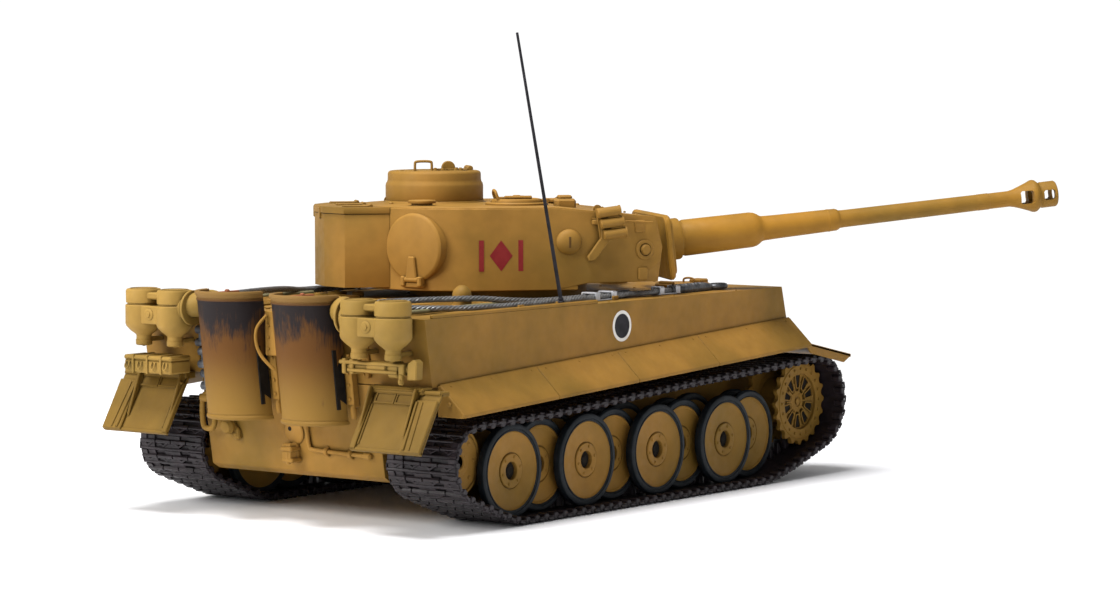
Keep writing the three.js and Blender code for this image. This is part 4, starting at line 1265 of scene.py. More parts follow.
def deck_fittings():
    deck = Shape(SAND)
    for side in SIDES:
        flip = mirror(side)
        for x in ((-40.5, -8.5), (-5.5, 26.0)):
            deck.add(grille(x, (23.0, 46.0), 8), flip)
            # painted shade: a near-black sheet under the louvres
            deck.add(
                box((x[0] + 0.6, x[1] - 0.6), (23.6, 45.4), (DECK_Z - 0.1, DECK_Z + 0.12), 0), flip,
                material=HOLLOW_SHADE,
            )
        deck.add(lathe("z", [
            (0, 73.1), (3.6, 73.1), (3.6, 74.3), (3.1, 74.7), (1.2, 74.7), (1.0, 75.1), (0, 75.2),
        ], 28), flip @ at(32, 40, 0))
        deck.add(lathe("z", [
            (0, 73.1), (2.3, 73.1), (2.3, 74.6), (1.9, 75.0), (0, 75.0),
        ], 24), flip @ at(31.5, 29.5, 0))
        hatch = lathe("z", [
            (0, 73.0), (10.6, 73.0), (10.6, 74.0), (10.3, 74.4), (9.7, 74.5), (9.5, 74.2), (0, 74.5),
        ], 48)
        deck.add(hatch, flip @ at(149, 33, 0))
        deck.add(box((137.2, 141.8), (30.2, 35.8), (73.1, 74.6), 0.3), flip)
        deck.add(moved(drum("y", 0.8, 29.8, 36.2, 0.2, 14), at(138.6, 0, 74.9)), flip)
        handle = curve([
            (153, 30.6, 74.3), (153, 30.6, 75.6), (153, 32, 76.1), (153, 34, 76.1), (153, 35.4, 75.6),
            (153, 35.4, 74.3),
        ], 3)
        deck.add(tube(handle, 0.4, 8), flip)
        deck.add(box((156.5, 162.0), (30.4, 36.0), (73.1, 75.6), 0.5), flip)
        # painted shade: a near-black box in the opening
        deck.add(box((160.8, 162.3), (31.0, 35.4), (73.8, 75.2), 0.2), flip, material=HOLLOW_SHADE)
        for x in (-30, 5, 60, 100, 140):
            deck.add(moved(rivet(0.5, 0.3), at(x, 64.0, DECK_Z)), flip)
        deck.add(box((-41, 52), (64.2, 65.5), (DECK_Z - 0.2, DECK_Z + 1.4), 0.4), flip)
        hose = curve([
            (-38, 49.0, 74.2), (-34, 50.6, 74.4), (-27, 50.9, 74.4), (-20, 48.6, 74.3),
            (-10, 48.0, 74.3), (6, 47.9, 74.3), (27, 47.6, 74.2),
        ], 6)
        deck.add(tube(hose, 0.8, 12), flip, material=HOSE)
        bend = curve([
            (-46.5, 31, 75.0), (-43.5, 34, 75.4), (-41.0, 39, 75.0), (-38.6, 44, 74.6),
            (-37.6, 49.2, 74.2),
        ], 6)
        deck.add(tube(bend, [1.9 - 0.02 * i for i in range(len(bend))], 16), flip, material=HOSE)
        for x, y in ((12, 61.8), (34, 61.5), (70, 59.5)):
            deck.add(box((x - 1.5, x + 1.5), (y - 0.5, y + 0.5), (DECK_Z - 0.1, DECK_Z + 1.6), 0.2), flip)
    for x, y in ((7.8, 12), (7.8, -12), (-37.2, 12), (-37.2, -12)):
        deck.add(moved(bolt(0.8, 0.6), at(x, y, DECK_Z)))
    for x in (-36.5, 108, 130, 165):
        for y in (-24, -8, 8, 24):
            deck.add(moved(rivet(0.55, 0.35), at(x, y, DECK_Z)))
    dome = lathe("z", [
        (0, 73.1), (3.9, 73.1), (3.9, 74.2), (3.4, 74.6), (3.4, 78.4), (3.0, 79.6), (1.9, 80.7),
        (1.0, 81.2), (0, 81.3),
    ], 12)
    deck.add(dome, at(5.1, -41, 0))
    deck.add(lathe("z", [(0, 73.1), (5.4, 73.1), (5.4, 74.2), (4.8, 75.1), (0, 75.4)], 36), at(149, 0, 0))
    deck.finish("deck_fittings", "hull", "hull_paint")


def battery_hatch():
    """The rear deck door: a raised panel with two domed vents, lifting handles and its hinges."""
    door = Shape(SAND)
    door.add(box((-33.7, 4.3), (-17.3, 17.3), (71.5, 73.9), 0.4))
    door.add(box((-32.0, 2.6), (-15.6, 15.6), (73.6, 74.4), 0.3))
    for x in (-24.2, -5.2):
        door.add(lathe("z", [
            (0, 74.2), (6.3, 74.2), (6.3, 74.8), (5.7, 75.3), (4.9, 75.3), (4.7, 75.0), (0, 75.4),
        ], 40), at(x, 0, 0))
        door.add(moved(bolt(0.7, 0.5), at(x, 0, 75.3)))
    for x in (-28, -1.4):
        for y in (-11, 11):
            grip = curve([
                (x, y - 2.2, 74.2), (x, y - 2.1, 75.2), (x, y, 75.6), (x, y + 2.1, 75.2),
                (x, y + 2.2, 74.2),
            ], 3)
            door.add(tube(grip, 0.35, 8))
    for x in (-26.0, -3.4):
        door.add(moved(drum("x", 0.75, -3.0, 3.0, 0.15, 14), at(x, 17.0, 74.25)))
        door.add(box((x - 2.6, x + 2.6), (12.8, 17.1), (73.8, 74.6), 0.2))
    for i in range(6):
        for y in (-14.4, 14.4):
            door.add(moved(rivet(0.45, 0.3), at(-30.6 + 6.36 * i, y, 74.4)))
    door.dress("battery_hatch", "door", "battery_lid", "hull_paint")


AERIAL_RUN = -0.262
AERIAL_RISE = 96


def antenna():
    """A whip on a ribbed rubber base, leaning back."""
    whip = Shape(BLACK)
    base = Vector((34.5, -62.4, 73.5))
    lean = Vector((AERIAL_RUN, 0, 1)).normalized()
    place = toward(lean, base)
    whip.add(lathe("z", [
        (0, -0.2), (1.9, -0.2), (1.9, 0.5), (1.2, 0.8), (1.2, 1.5), (0.9, 1.7), (0.9, 2.6), (0.6, 3.0),
        (0, 3.0),
    ], 20), place)
    height = AERIAL_RISE * math.sqrt(1 + AERIAL_RUN ** 2)
    steps = 12
    line = [base + lean * (2.0 + (height - 2.3) * i / steps) for i in range(steps + 1)]
    whip.add(tube(line, [0.72 - 0.24 * i / steps for i in range(steps + 1)], 10))
    whip.dress("antenna", "whip", "hull", "black_plastic")


def front_fittings():
    """The driver's visor, the ball mount and the headlamp, with spare lugs on the nose."""
    front = Shape(SAND)
    face = 171.7
    front.add(box((face - 1.0, face + 1.8), (12.5, 30.5), (61.2, 68.4), 0.5))
    front.add(box((face + 1.2, face + 2.4), (14.0, 29.0), (63.4, 66.0), 0.4))
    # painted shade: a near-black strip in the visor's slot
    front.add(box((face + 1.9, face + 2.5), (16.0, 27.0), (64.3, 65.1), 0.1), material=HOLLOW_SHADE)
    front.add(moved(lathe("z", [
        (0, -1), (6.6, -1), (6.6, 0.9), (5.9, 1.5), (4.6, 1.6), (4.2, 2.8), (2.4, 3.8), (0, 4.0),
    ], 40), toward((1, 0, 0.25), (face - 0.4, -24, 65.2))))
    front.add(rod((face + 2, -24, 65.8), (face + 9.5, -24, 67.6), 0.7, 10), material=GUNMETAL)
    for y in (-36, 36):
        front.add(box((184.5, 193.0), (y - 1.6, y + 1.6), (33, 46), 0.6))
    lamp = lathe("x", [
        (0, -3.0), (1.8, -2.6), (3.0, -1.0), (3.3, 1.6), (3.5, 1.7), (3.5, 2.2), (3.2, 2.3), (0, 2.1),
    ], 28)
    front.add(lamp, at(166, 0, 77.9))
    front.add(drum("z", 0.8, 73.0, 75.6, 0.2, 12), at(166, 0, 0))
    front.add(moved(drum("x", 2.9, 1.9, 2.35, 0.1, 28), at(166, 0, 77.9)), material=WHITE)
    for y in (-30, -15, 0, 15, 30):
        front.add(moved(rivet(0.6, 0.4), toward((0.87, 0, 0.5), (181.8, y, 53.0))))
    front.finish("front_fittings", "hull", "hull_paint")


for side in SIDES:
    tow_cable(side)
deck_fittings()
battery_hatch()
antenna()
front_fittings()

# Turret

TURRET_BACK = -10
HALF_WIDTH = 41.5
BOTTOM, TOP = 76.6, 106.7
ROOF_BREAK, ROOF_FRONT = 14, 70
FRONT_TOP = 100.7
NOSE_FLARE = 0.26


def roof_z(u):
    """The roof is flat over the rear and falls away in front of its break."""
    return TOP - max(0.0, u - ROOF_BREAK) * (TOP - FRONT_TOP) / (ROOF_FRONT - ROOF_BREAK)


def plan(width, steps=56):
    """The turret's outline in plan, from the left nose round the back to the right nose."""
    left = [(54, width - 6), (40, width - 2.2), (33, width - 1.1), (26, width), (14, width), (2, width)]
    back = [
        (TURRET_BACK + width * math.cos(a), width * math.sin(a))
        for a in (math.pi / 2 + math.pi * i / steps for i in range(steps + 1))
    ]
    return left + back + [(u, -v) for u, v in reversed(left)]


def nose_u(z):
    """The pointed front edge of the side walls."""
    if z > 91.6:
        return 54.6 - 3.6 * (z - 91.6) / 11
    return 52.6 + 2.0 * (z - BOTTOM) / 15


def turret_skin():
    """A fine curved skin over the shell's sides, with a weld line left under the roof's edge."""
    rows = 6
    outer, inner = plan(HALF_WIDTH + 0.12), plan(HALF_WIDTH - 1.2)
    count = len(outer)
    points = []
    for outline, ease in ((outer, 0.3), (inner, 0.0)):
        for row in range(rows):
            for k, (u, v) in enumerate(outline):
                low = BOTTOM + (2.4 if u > 22 else 0.0)
                high = roof_z(u) - 0.4
                z = (low, low + 0.3, 86.0, 91.6, high - 0.25, high)[row]
                if k in (0, count - 1):
                    u = nose_u(z)
                pull = ease if row in (0, rows - 1) else 0.0
                middle = TURRET_BACK if u < TURRET_BACK else u
                length = math.hypot(u - middle, v)
                shrink = (length - pull) / length
                points.append(Vector((middle + (u - middle) * shrink, v * shrink, z)))
    faces = []
    for row in range(rows - 1):
        for k in range(count - 1):
            a = row * count + k
            b = rows * count + a
            faces.append((a, a + 1, a + 1 + count, a + count))
            faces.append((b, b + 1, b + 1 + count, b + count))
    shift = rows * count
    for k in range(count - 1):
        for row in (0, rows - 1):
            a = row * count + k
            faces.append((a, a + 1, a + 1 + shift, a + shift))
    for k in (0, count - 1):
        for row in range(rows - 1):
            a = row * count + k
            faces.append((a, a + count, a + count + shift, a + shift))
    return points, faces


def vision_dome():
    """A domed plug that carries a vision slit."""
    return lathe("z", [(0, -0.8), (4.7, -0.8), (4.7, 0.3), (4.2, 1.1), (3.0, 1.9), (1.2, 2.3), (0, 2.3)], 36)


def turret_sides():
    body = Shape(SAND)
    body.add(turret_skin())
    for v in (-1, 1):
        face = HALF_WIDTH * v
        body.add(moved(vision_dome(), toward((0, v, 0), (18.6, face, 94))))
        body.add(
            box((18.2, 19.0), sorted((face + v * 1.6, face + v * 2.45)), (92.0, 96.0), 0.15),
            material=SLIT,
        )
        wall = HALF_WIDTH - 3.0
        out = Vector((NOSE_FLARE, v, 0)).normalized()
        body.add(moved(lathe("z", [
            (0, -1), (3.7, -1), (3.7, 0.3), (3.4, 0.7), (2.4, 0.8), (2.2, 0.4), (0, 0.4),
        ], 32), toward(out, (47.5, v * (wall - 1.1), 90.7))))
        body.add(
            moved(lathe("z", [
                (0, 0), (1.9, 0), (1.9, 1.4), (1.5, 1.9), (0, 1.9),
            ], 24), toward(out, (47.5, v * (wall - 1.1), 90.7)))
        )
        for u, low, high in ((45.6, 97, 101.6), (46.8, 79.6, 84.2)):
            spin = math.atan2(NOSE_FLARE, 1)
            pad = box((-2.0, 2.0), (low, high), (-0.8, 0.75), 0.4)
            frame_at = Matrix.Translation((u, v * (wall - 0.8), 0)) @ Matrix.Rotation(-v * spin, 4, "Z")
            turn = Matrix(((1, 0, 0, 0), (0, 0, v, 0), (0, 1, 0, 0), (0, 0, 0, 1)))
            body.add(pad, frame_at @ turn)
        body.add(tube([
            Vector((27, v * 42.0, 102.4)), Vector((38, v * 41.0, 101.4)),
            Vector((50.5, v * 38.0, 100.6)),
        ], 0.35, 6))
    body.finish("turret_sides", "turret", "hull_paint", TURRET)


def escape_hatch():
    """A thick round door on the right rear curve, on a wedge-shaped hinge arm."""
    door = Shape(SAND)
    seat = math.radians(-129.5)
    facing = math.radians(-136)
    middle = Vector(
        (TURRET_BACK + (HALF_WIDTH - 1.0) * math.cos(seat), (HALF_WIDTH - 1.0) * math.sin(seat), 92.2)
    )
    out = Vector((math.cos(facing), math.sin(facing), 0))
    across = Vector((-out.y, out.x, 0))
    place = Matrix((across, (0, 0, 1), out)).transposed().to_4x4()
    place = Matrix.Translation(middle) @ place
    door.add(lathe("z", [
        (0, -2.5), (12.4, -2.5), (12.4, 1.3), (11.9, 1.9), (11.3, 2.1), (0, 2.1),
    ], 64), place)
    arm = [(-1.4, -3.2), (1.4, -3.2), (2.5, -11.6), (-2.5, -11.6)]
    door.add(prism("xy", arm, 1.4, 3.3, 0.4), place)
    door.add(drum("x", 1.0, -3.2, 3.2, 0.3, 16), place @ at(0, -11.6, 2.5))
    door.add(box((-4.6, -2.8), (-14.0, -10.4), (0.5, 3.6), 0.4), place)
    door.add(box((2.8, 4.6), (-14.0, -10.4), (0.5, 3.6), 0.4), place)
    door.add(box((-4.6, 4.6), (-14.4, -12.6), (0.0, 2.6), 0.3), place)
    door.finish("escape_hatch", "turret", "hull_paint", TURRET)


def roof_fittings():
    roof = Shape(SAND)
    vent = lathe("z", [
        (0, -0.3), (3.9, -0.3), (3.9, 0.7), (5.0, 0.8), (5.1, 1.0), (5.1, 1.7), (4.8, 1.95), (0, 1.95),
    ], 40)
    roof.add(vent, at(-31, -16, TOP), at(24, 12, TOP - 1.0))
    collar_ring = lathe("z", [
        (9.7, -0.4), (11.6, -0.4), (11.6, 0.6), (11.2, 1.0), (9.7, 1.0), (9.7, -0.4),
    ], 48)
    roof.add(collar_ring, at(4, -17, TOP))
    roof.add(box((17.4, 24.6), (-25.6, -18.0), (104.6, 109.0), 0.8))
    roof.add(box((18.4, 23.4), (-24.4, -19.2), (108.8, 110.2), 0.5))
    # painted shade: a near-black box in the roof box's opening
    roof.add(box((24.0, 24.8), (-24.2, -19.4), (106.6, 108.2), 0.2), material=HOLLOW_SHADE)
    for u, v in ((36, 29), (36, -29), (-40, 0), (12, 33)):
        roof.add(moved(rivet(0.9, 0.8), at(u, v, roof_z(u) - 0.1)))
    for v in (-30, -10, 10, 30):
        roof.add(moved(rivet(0.5, 0.35), at(46, v, roof_z(46))))
    roof.add(lathe("z", [(0, -0.3), (2.2, -0.3), (2.2, 1.4), (1.8, 1.8), (0, 1.8)], 24), at(12, 20, TOP))
    lug = lathe("y", [(0, -0.5), (1.6, -0.5), (1.6, 0.5), (0, 0.5)], 20)
    roof.add(lug, at(30, 37.5, 105.6), at(30, -37.5, 105.6), at(-38, 20.5, 107.2))
    roof.finish("roof_fittings", "turret", "hull_paint", TURRET)


def loader_hatch():
    lid = Shape(SAND)
    lid.add(lathe("z", [
        (0, 106.9), (9.3, 106.9), (9.3, 108.3), (9.0, 108.8), (8.0, 109.0), (7.7, 108.6), (0, 108.9),
    ], 48), at(4, -17, 0))
    lid.add(box((9.5, 15.6), (-19.6, -14.4), (107.4, 108.6), 0.3))
    lid.add(moved(drum("y", 0.9, -20.4, -13.6, 0.2, 14), at(15.0, 0, 108.2)))
    handle = curve([
        (-3.4, -21.6, 108.6), (-4.2, -21.6, 110.2), (-4.6, -21.0, 111.6), (-4.6, -17.0, 112.0),
        (-4.2, -14.4, 110.6), (-3.4, -14.2, 108.6),
    ], 4)
    lid.add(tube(handle, 0.55, 8))
    lid.add(lathe("z", [
        (0, 108.6), (1.8, 108.6), (1.8, 109.7), (1.2, 110.2), (0, 110.2),
    ], 20), at(4, -17, 0))
    lid.add(box((-3.0, 9.6), (-18.0, -16.0), (108.6, 109.6), 0.3))
    lid.add(moved(drum("x", 0.7, -1.2, 9.0, 0.2, 12), at(0, -20.4, 109.4)))
    lid.finish("loader_lid_dressed", "loader_lid", "hull_paint", TURRET, ("loader_hatch",))


CUPOLA_U, CUPOLA_V = -20.9, 17.9


def cupola():
    ring = Shape(SAND)
    ring.add(lathe("z", [
        (11.9, 107.0), (18.1, 107.0), (18.3, 107.4), (18.3, 112.8), (18.1, 113.7), (17.65, 114.4),
        (17.5, 115.2), (17.45, 117.3), (17.2, 117.9), (16.7, 118.25), (16.0, 118.4), (12.7, 118.4),
        (12.4, 118.1), (11.9, 118.0), (11.9, 107.0),
    ], 80), at(CUPOLA_U, CUPOLA_V, 0))
    ring.add(lathe("z", [
        (18.0, 106.6), (18.9, 106.6), (18.5, 107.3), (18.0, 107.3), (18.0, 106.6),
    ], 64), at(CUPOLA_U, CUPOLA_V, 0))
    ring.dress("cupola", "ring", "turret", "hull_paint", TURRET, 40)


def commander_hatch():
    lid = Shape(SAND)
    place = at(CUPOLA_U, CUPOLA_V, 0)
    lid.add(lathe("z", [
        (0, 117.2), (11.4, 117.2), (11.4, 118.2), (11.1, 118.5), (9.9, 118.6), (9.6, 118.35),
        (0, 118.5),
    ], 56), place)
    lid.add(box((9.4, 13.4), (-3.4, 3.4), (118.1, 119.0), 0.3), place)
    lid.add(moved(drum("y", 1.1, -4.2, 4.2, 0.25, 18), at(13.0, 0, 119.1)), place)
    handle = curve([
        (-8.4, -7.0, 118.3), (-8.4, -7.0, 121.0), (-7.9, -7.0, 121.8), (-5.2, -7.0, 122.0),
        (-2.6, -7.0, 121.8), (-2.1, -7.0, 121.0), (-2.1, -7.0, 118.3),
    ], 4)
    lid.add(tube(handle, 0.5, 10), place)
    lid.add(moved(lathe("y", [
        (0, -0.8), (2.3, -0.8), (2.6, -0.5), (2.6, 0.5), (2.3, 0.8), (0, 0.8),
    ], 28), at(4.7, -3.6, 119.4)), place)
    lid.add(box((-1.5, 10.2), (-4.6, -3.0), (118.3, 119.2), 0.3), place)
    for u, v in ((-0.4, -4.8), (2.2, -5.4), (7.4, -4.6), (9.2, -4.2), (8.2, -1.6)):
        lid.add(moved(rivet(0.85, 1.0), at(u, v, 118.5)), place)
    lid.finish("commander_lid_dressed", "commander_lid", "hull_paint", TURRET, ("commander_hatch",))


def storage_bin():
    """A stowage bin wrapped round the turret's back, with a seamed lid and small latches."""
    outer = [(-60.5, 22.8), (-66.5, 12), (-68.4, 0), (-66.5, -12), (-60.5, -22.8)]
    hug = [
        (TURRET_BACK - 42.1 * math.cos(a), 42.1 * math.sin(a))
        for a in (math.radians(-34.7 + 69.4 * i / 14) for i in range(15))
    ]
    outline = [(hug[-1][0] + 0.4, 24.0)] + outer + [(hug[0][0] + 0.4, -24.0)] + hug
    wide = [(u - 0.35 if u < -50 else u, v * 1.012) for u, v in outline]
    case = Shape(SAND)
    case.add(prism("xy", outline, 77.4, 103.9, 0.35))
    case.add(prism("xy", wide, 104.2, 106.5, 0.35))
    # painted shade: a near-black layer in the seam under the lid
    case.add(prism("xy", [
        (u * 0.995 - 0.3, v * 0.985) for u, v in outline
    ], 103.8, 104.4, 0), material=HOLLOW_SHADE)
    for v in (-17.5, 0, 17.5):
        case.add(box((-60.5, -50.5), (v - 1.8, v + 1.8), (106.3, 107.1), 0.3))
        case.add(moved(drum("y", 0.7, v - 2.6, v + 2.6, 0.2, 12), at(-50.4, 0, 106.9)))
    for u, v in ((-67.3, 7.0), (-67.3, -7.0)):
        case.add(box((u - 0.6, u + 0.8), (v - 1.3, v + 1.3), (102.0, 106.2), 0.25))
    case.dress("storage_bin", "case", "turret", "hull_paint", TURRET)


def smoke_launcher(side):
    """Three stacked tubes on a bracket, each set a little further forward than the one above."""
    rack = Shape(SAND)
    flat = [(28.0, 106.0), (32.0, 106.2), (34.6, 96.0), (32.6, 93.4), (30.0, 93.6)]
    rack.add(prism("xz", flat, 42.6, 43.6, 0.25))
    arm = [
        (30.2, 101.4), (33.0, 100.6), (33.4, 94.4), (27.9, 87.2), (25.5, 87.0), (25.4, 89.0),
        (30.0, 95.4),
    ]
    rack.add(prism("xz", arm, 42.0, 43.8, 0.35))
    rack.add(box((27.0, 30.6), (41.0, 43.0), (100.2, 102.0), 0.35))
    tilt = Matrix.Rotation(math.radians(-7), 4, "Y")
    for i in range(3):
        place = at(28.6 + 1.2 * i, 45.2, 104.4 - 3.9 * i) @ tilt
        rack.add(lathe("x", [
            (0, -0.3), (1.5, -0.3), (1.85, 0.1), (1.85, 7.6), (2.0, 7.7), (2.0, 8.3), (1.7, 8.4),
            (1.35, 8.4), (1.35, 2.0), (0, 2.0),
        ], 28), place)
        # painted shade: a near-black disc just inside each tube's mouth
        rack.add(lathe("x", [(0, 1.9), (1.3, 1.9), (1.3, 2.2), (0, 2.2)], 20), place, material=HOLLOW_SHADE)
        rack.add(box((1.5, 6.0), (-2.6, -0.6), (-1.0, 1.0), 0.3), place)
    rack.add(drum("y", 1.4, 40.6, 43.6, 0.3, 18), at(26.6, 0, 88.3))
    rack.add(moved(rivet(0.6, 0.4), toward((0, 1, 0), (31.6, 43.6, 97.2))))
    rack.dress(f"smoke_launcher_{side}", "rack", "turret", "hull_paint", TURRET @ mirror(side))


eased_node("turret_shell", "turret", SAND, 0.3)
turret_sides()
escape_hatch()
roof_fittings()
loader_hatch()
cupola()
commander_hatch()
storage_bin()
for side in SIDES:
    smoke_launcher(side)

# Gun, drawn with x along the barrel from the trunnion


def mantlet():
    shield = Shape(GUN_SAND)
    shield.add(prism("yz", rounded(58, 24, 3.2), 11.6, 13.9, 0.7), at(0, 0, -1))
    shield.add(prism("yz", rounded(54.5, 20.6, 2.6), 13.7, 14.8, 0.5), at(0, 0, -1))
    shield.add(lathe("x", [(0, 14.4), (9.4, 14.4), (9.4, 15.2), (8.9, 15.6), (0, 15.7)], 48))
    for y in (-24.5, 24.5):
        for z in (-8.0, 6.5):
            shield.add(moved(rivet(0.7, 0.4), toward((1, 0, 0), (14.8, y, z))))
    for y in (-17.5, 17.5):
        ring = lathe("z", [(0, -1), (2.2, -1), (2.2, 0.6), (1.8, 0.9), (1.0, 0.9), (0.9, 0.2), (0, 0.2)], 24)
        shield.add(moved(ring, toward((1, 0, 0), (14.8, y, 0.5))))
    for y in (-1, 1):
        shield.add(box((-3.0, 10.4), sorted((y * 4.6, y * 8.6)), (-6.6, 6.6), 0.4))
    shield.add(drum("y", 2.9, -32.2, 32.2, 0.3, 28), material=GUNMETAL)
    shield.dress("mantlet", "shield", "gun", "hull_paint", GUN)


BARREL = [
    (0, 15.4), (8.2, 15.4), (8.2, 17.0), (7.8, 17.4), (7.8, 22.0), (7.5, 22.6), (6.6, 22.9),
    (6.5, 23.5), (6.85, 24.4), (6.75, 36), (6.6, 50.4), (6.3, 52.0), (5.7, 53.2), (4.95, 54.2),
    (4.7, 54.9), (4.62, 56.0), (4.5, 60), (4.2, 80.4), (4.28, 80.5), (4.28, 81.0), (4.2, 81.1),
    (4.15, 83.6), (3.85, 84.4), (3.4, 85.0), (3.3, 86.5), (3.06, 140.0), (3.12, 140.1), (3.12, 144.2),
    (3.0, 144.3), (3.0, 152.4), (3.4, 154.4), (4.3, 157.0), (5.4, 160.0), (6.05, 161.4), (6.2, 162.2),
    (6.05, 163.0), (5.3, 163.9), (4.75, 164.4), (4.7, 164.8), (4.95, 165.3), (4.95, 170.6),
    (4.7, 171.0), (2.9, 171.0), (2.6, 170.7), (2.6, 156.0), (0, 156.0),
]
BRAKE_PORTS = [(156.4, 161.2, 2.5), (165.4, 170.0, 1.9)]


def cut_through(solid, tools):
    """A solid with others taken out of it."""
    meshes = []
    for points, faces in (solid, joined(*tools)):
        mesh = bpy.data.meshes.new("cut")
        mesh.from_pydata(points, [], faces)
        work = bmesh.new()
        work.from_mesh(mesh)
        bmesh.ops.recalc_face_normals(work, faces=work.faces)
        work.to_mesh(mesh)
        work.free()
        meshes.append(bpy.data.objects.new("cut", mesh))
        bpy.context.scene.collection.objects.link(meshes[-1])
    whole, tool = meshes
    boolean = whole.modifiers.new("cut", "BOOLEAN")
    boolean.operation = "DIFFERENCE"
    boolean.solver = "EXACT"
    boolean.object = tool
    bpy.context.view_layer.update()
    result = whole.evaluated_get(bpy.context.evaluated_depsgraph_get()).to_mesh()
    cut = (
        [vertex.co.copy() for vertex in result.vertices],
        [tuple(polygon.vertices) for polygon in result.polygons],
    )
    for leftover in meshes:
        bpy.data.objects.remove(leftover)
    return cut


def gun_barrel():
    """A stepped tube whose double-baffle brake has side ports open right through."""
    barrel = Shape(GUN_SAND)
    ports = []
    for low, high, tall in BRAKE_PORTS:
        waist = tall - 0.6
        slot = [(low, -waist), (low + 0.6, -tall), (high - 0.6, -tall), (high, -waist)]
        slot += [(x, -z) for x, z in reversed(slot)]
        ports.append(prism("xz", slot, -9, 9, 0))
    barrel.add(cut_through(lathe("x", BARREL, 56), ports))
    ring = [Matrix.Rotation(math.pi * i / 5, 4, "X") for i in range(10)]
    barrel.add(moved(rivet(0.45, 0.3), toward((1, 0, 0), (16.3, 7.5, 0))), *ring)
    barrel.finish("gun_tube", "gun", "hull_paint", GUN, ("gun_barrel",), 30)


mantlet()
gun_barrel()

# Markings


def plate(name, body, place, outline, material, thickness=0.06):
    Shape(material).add(prism("xy", outline, -0.05, thickness, 0)).finish(name, body, "marking_paint", place)


def side_patch(u, v_sign, z, y_face, matrix):
    """A drawing plane on an upright side: x along the hull, y up, z outwards."""
    turn = Matrix(((1, 0, 0, u), (0, 0, v_sign, y_face * v_sign), (0, 1, 0, z), (0, 0, 0, 1)))
    return matrix @ turn


for side, sign in SIDES.items():
    face = side_patch(-6.3, sign, 89.3, HALF_WIDTH + 0.12, TURRET)
    plate(f"turret_mark_{side}_diamond", "turret", face, [(-4.2, 0), (0, -5.6), (4.2, 0), (0, 5.6)], RED)
    for name, shift in (("rear", -7.2), ("front", 7.2)):
        bar = [(shift - 0.9, -5.6), (shift + 0.9, -5.6), (shift + 0.9, 5.6), (shift - 0.9, 5.6)]
        plate(f"turret_mark_{side}_{name}_bar", "turret", face, bar, RED)
    disc = side_patch(66, sign, 64.4, 65.5, HULL)
    plate(f"hull_mark_{side}_ring", "hull", disc, circle(5.6, 40), WHITE, 0.05)
    plate(f"hull_mark_{side}_disc", "hull", disc, circle(4.4, 40), BLACK, 0.09)

# Inside


def inner_parts():
    """The motors, gears, board and battery that the hatches and the underside let one see."""
    motor_slots = {"drive_motor": STEEL, "drive_pinion": BRASS, "drive_gear": NYLON}
    for side in SIDES:
        for name, material in motor_slots.items():
            node = f"{name}_{side}"
            body = {
                "drive_motor": "hull", "drive_pinion": f"{side}_pinion", "drive_gear": f"{side}_drive",
            }[name]
            eased_node(node, body, material, 0.25)
    eased_node("turret_motor", "hull", STEEL, 0.25)
    eased_node("turret_pinion", "turret_gear", NYLON, 0.2)
    eased_node("power_switch", "switch_slider", BLACK, 0.3)
    eased_node("control_board", "hull", BOARD, 0.15)
    eased_node("battery_pack", "hull", FILM, 1.2)


inner_parts()

# Camera, light and floor

def look(target, azimuth, elevation, distance):
    a, e = math.radians(azimuth), math.radians(elevation)
    back = Vector((math.sin(a) * math.cos(e), -math.cos(a) * math.cos(e), math.sin(e)))
    right = Vector((math.cos(a), math.sin(a), 0))
    up = back.cross(right)
    return Matrix.Translation(target + back * distance), right, up, back


CAMERA_TARGET = (114.94, 0, 68.43)
CAMERA_AZIMUTH, CAMERA_ELEVATION = -52.543, 3.875
CAMERA_DISTANCE = 1.38895
CAMERA_ROLL = math.radians(-0.114)


def camera():
    target = HULL @ Vector(CAMERA_TARGET)
    place, right, up, back = look(target, CAMERA_AZIMUTH, CAMERA_ELEVATION, CAMERA_DISTANCE)
    turned_right = right * math.cos(CAMERA_ROLL) + up * math.sin(CAMERA_ROLL)
    turned_up = up * math.cos(CAMERA_ROLL) - right * math.sin(CAMERA_ROLL)
    data = bpy.data.cameras.new("camera")
    data.lens = 117.39
    data.sensor_width = 36
    data.clip_end = 20
    eye = bpy.data.objects.new("camera", data)
    eye.matrix_world = place @ Matrix((turned_right, turned_up, back)).transposed().to_4x4()
    bpy.context.scene.collection.objects.link(eye)
    bpy.context.scene.camera = eye


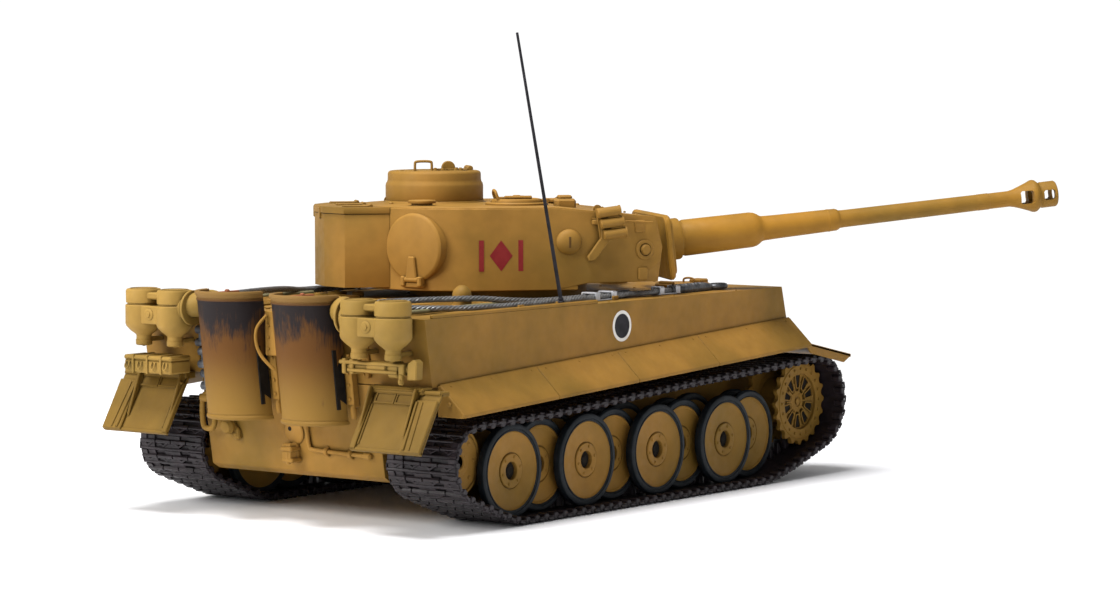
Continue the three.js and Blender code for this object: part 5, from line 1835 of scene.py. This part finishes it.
def lamp(name, azimuth, elevation, size, power, colour=(1, 1, 1)):
    data = bpy.data.lights.new(name, "AREA")
    data.size = size
    data.energy = power
    data.color = colour
    place, right, up, back = look(Vector((0, 0, 0.06)), azimuth, elevation, 1.3)
    light = bpy.data.objects.new(name, data)
    light.matrix_world = place @ Matrix((right, up, back)).transposed().to_4x4()
    bpy.context.scene.collection.objects.link(light)


def floor():
    n = Nodes("pale_floor")
    colour = n.ramp(n.noise(3.0), (0.0, (0.84, 0.84, 0.865)), (1.0, (0.88, 0.88, 0.895)))
    n.finish(colour, 0.55, specular=0.25)
    reach = 0.44
    corners = [(-reach, -reach, 0), (reach, -reach, 0), (reach, reach, 0), (-reach, reach, 0)]
    mesh = bpy.data.meshes.new("floor")
    mesh.from_pydata(corners, [], [(0, 1, 2, 3)])
    mesh.materials.append(n.material)
    plane = bpy.data.objects.new("floor", mesh)
    plane.location.z = -0.0002
    bpy.context.scene.collection.objects.link(plane)


def sky():
    """A room that is white up to just above the horizon, and softly lit overhead."""
    world = bpy.data.worlds.new("white_room")
    bpy.context.scene.world = world
    world.use_nodes = True
    tree = world.node_tree
    direction = tree.nodes.new("ShaderNodeTexCoord")
    axes = tree.nodes.new("ShaderNodeSeparateXYZ")
    ramp = tree.nodes.new("ShaderNodeValToRGB")
    half = tree.nodes.new("ShaderNodeMath")
    half.operation = "MULTIPLY_ADD"
    half.inputs[1].default_value = 0.5
    half.inputs[2].default_value = 0.5
    tree.links.new(direction.outputs["Generated"], axes.inputs[0])
    tree.links.new(axes.outputs["Z"], half.inputs[0])
    tree.links.new(half.outputs[0], ramp.inputs["Fac"])
    tree.links.new(ramp.outputs["Color"], tree.nodes["Background"].inputs["Color"])
    stops = [(0.0, 1.0), (0.58, 1.0), (0.64, 0.14), (0.82, 0.22), (1.0, 0.6)]
    elements = ramp.color_ramp.elements
    while len(elements) < len(stops):
        elements.new(0.5)
    for element, (position, value) in zip(elements, stops):
        element.position = position
        element.color = (value, value, value, 1)
    tree.nodes["Background"].inputs["Strength"].default_value = 1.05


bpy.context.scene.view_settings.view_transform = "Standard"
camera()
sky()
floor()
lamp("overhead", -95, 74, 0.6, 27)
lamp("rear_left", -112, 26, 0.5, 15, (1.0, 0.985, 0.95))
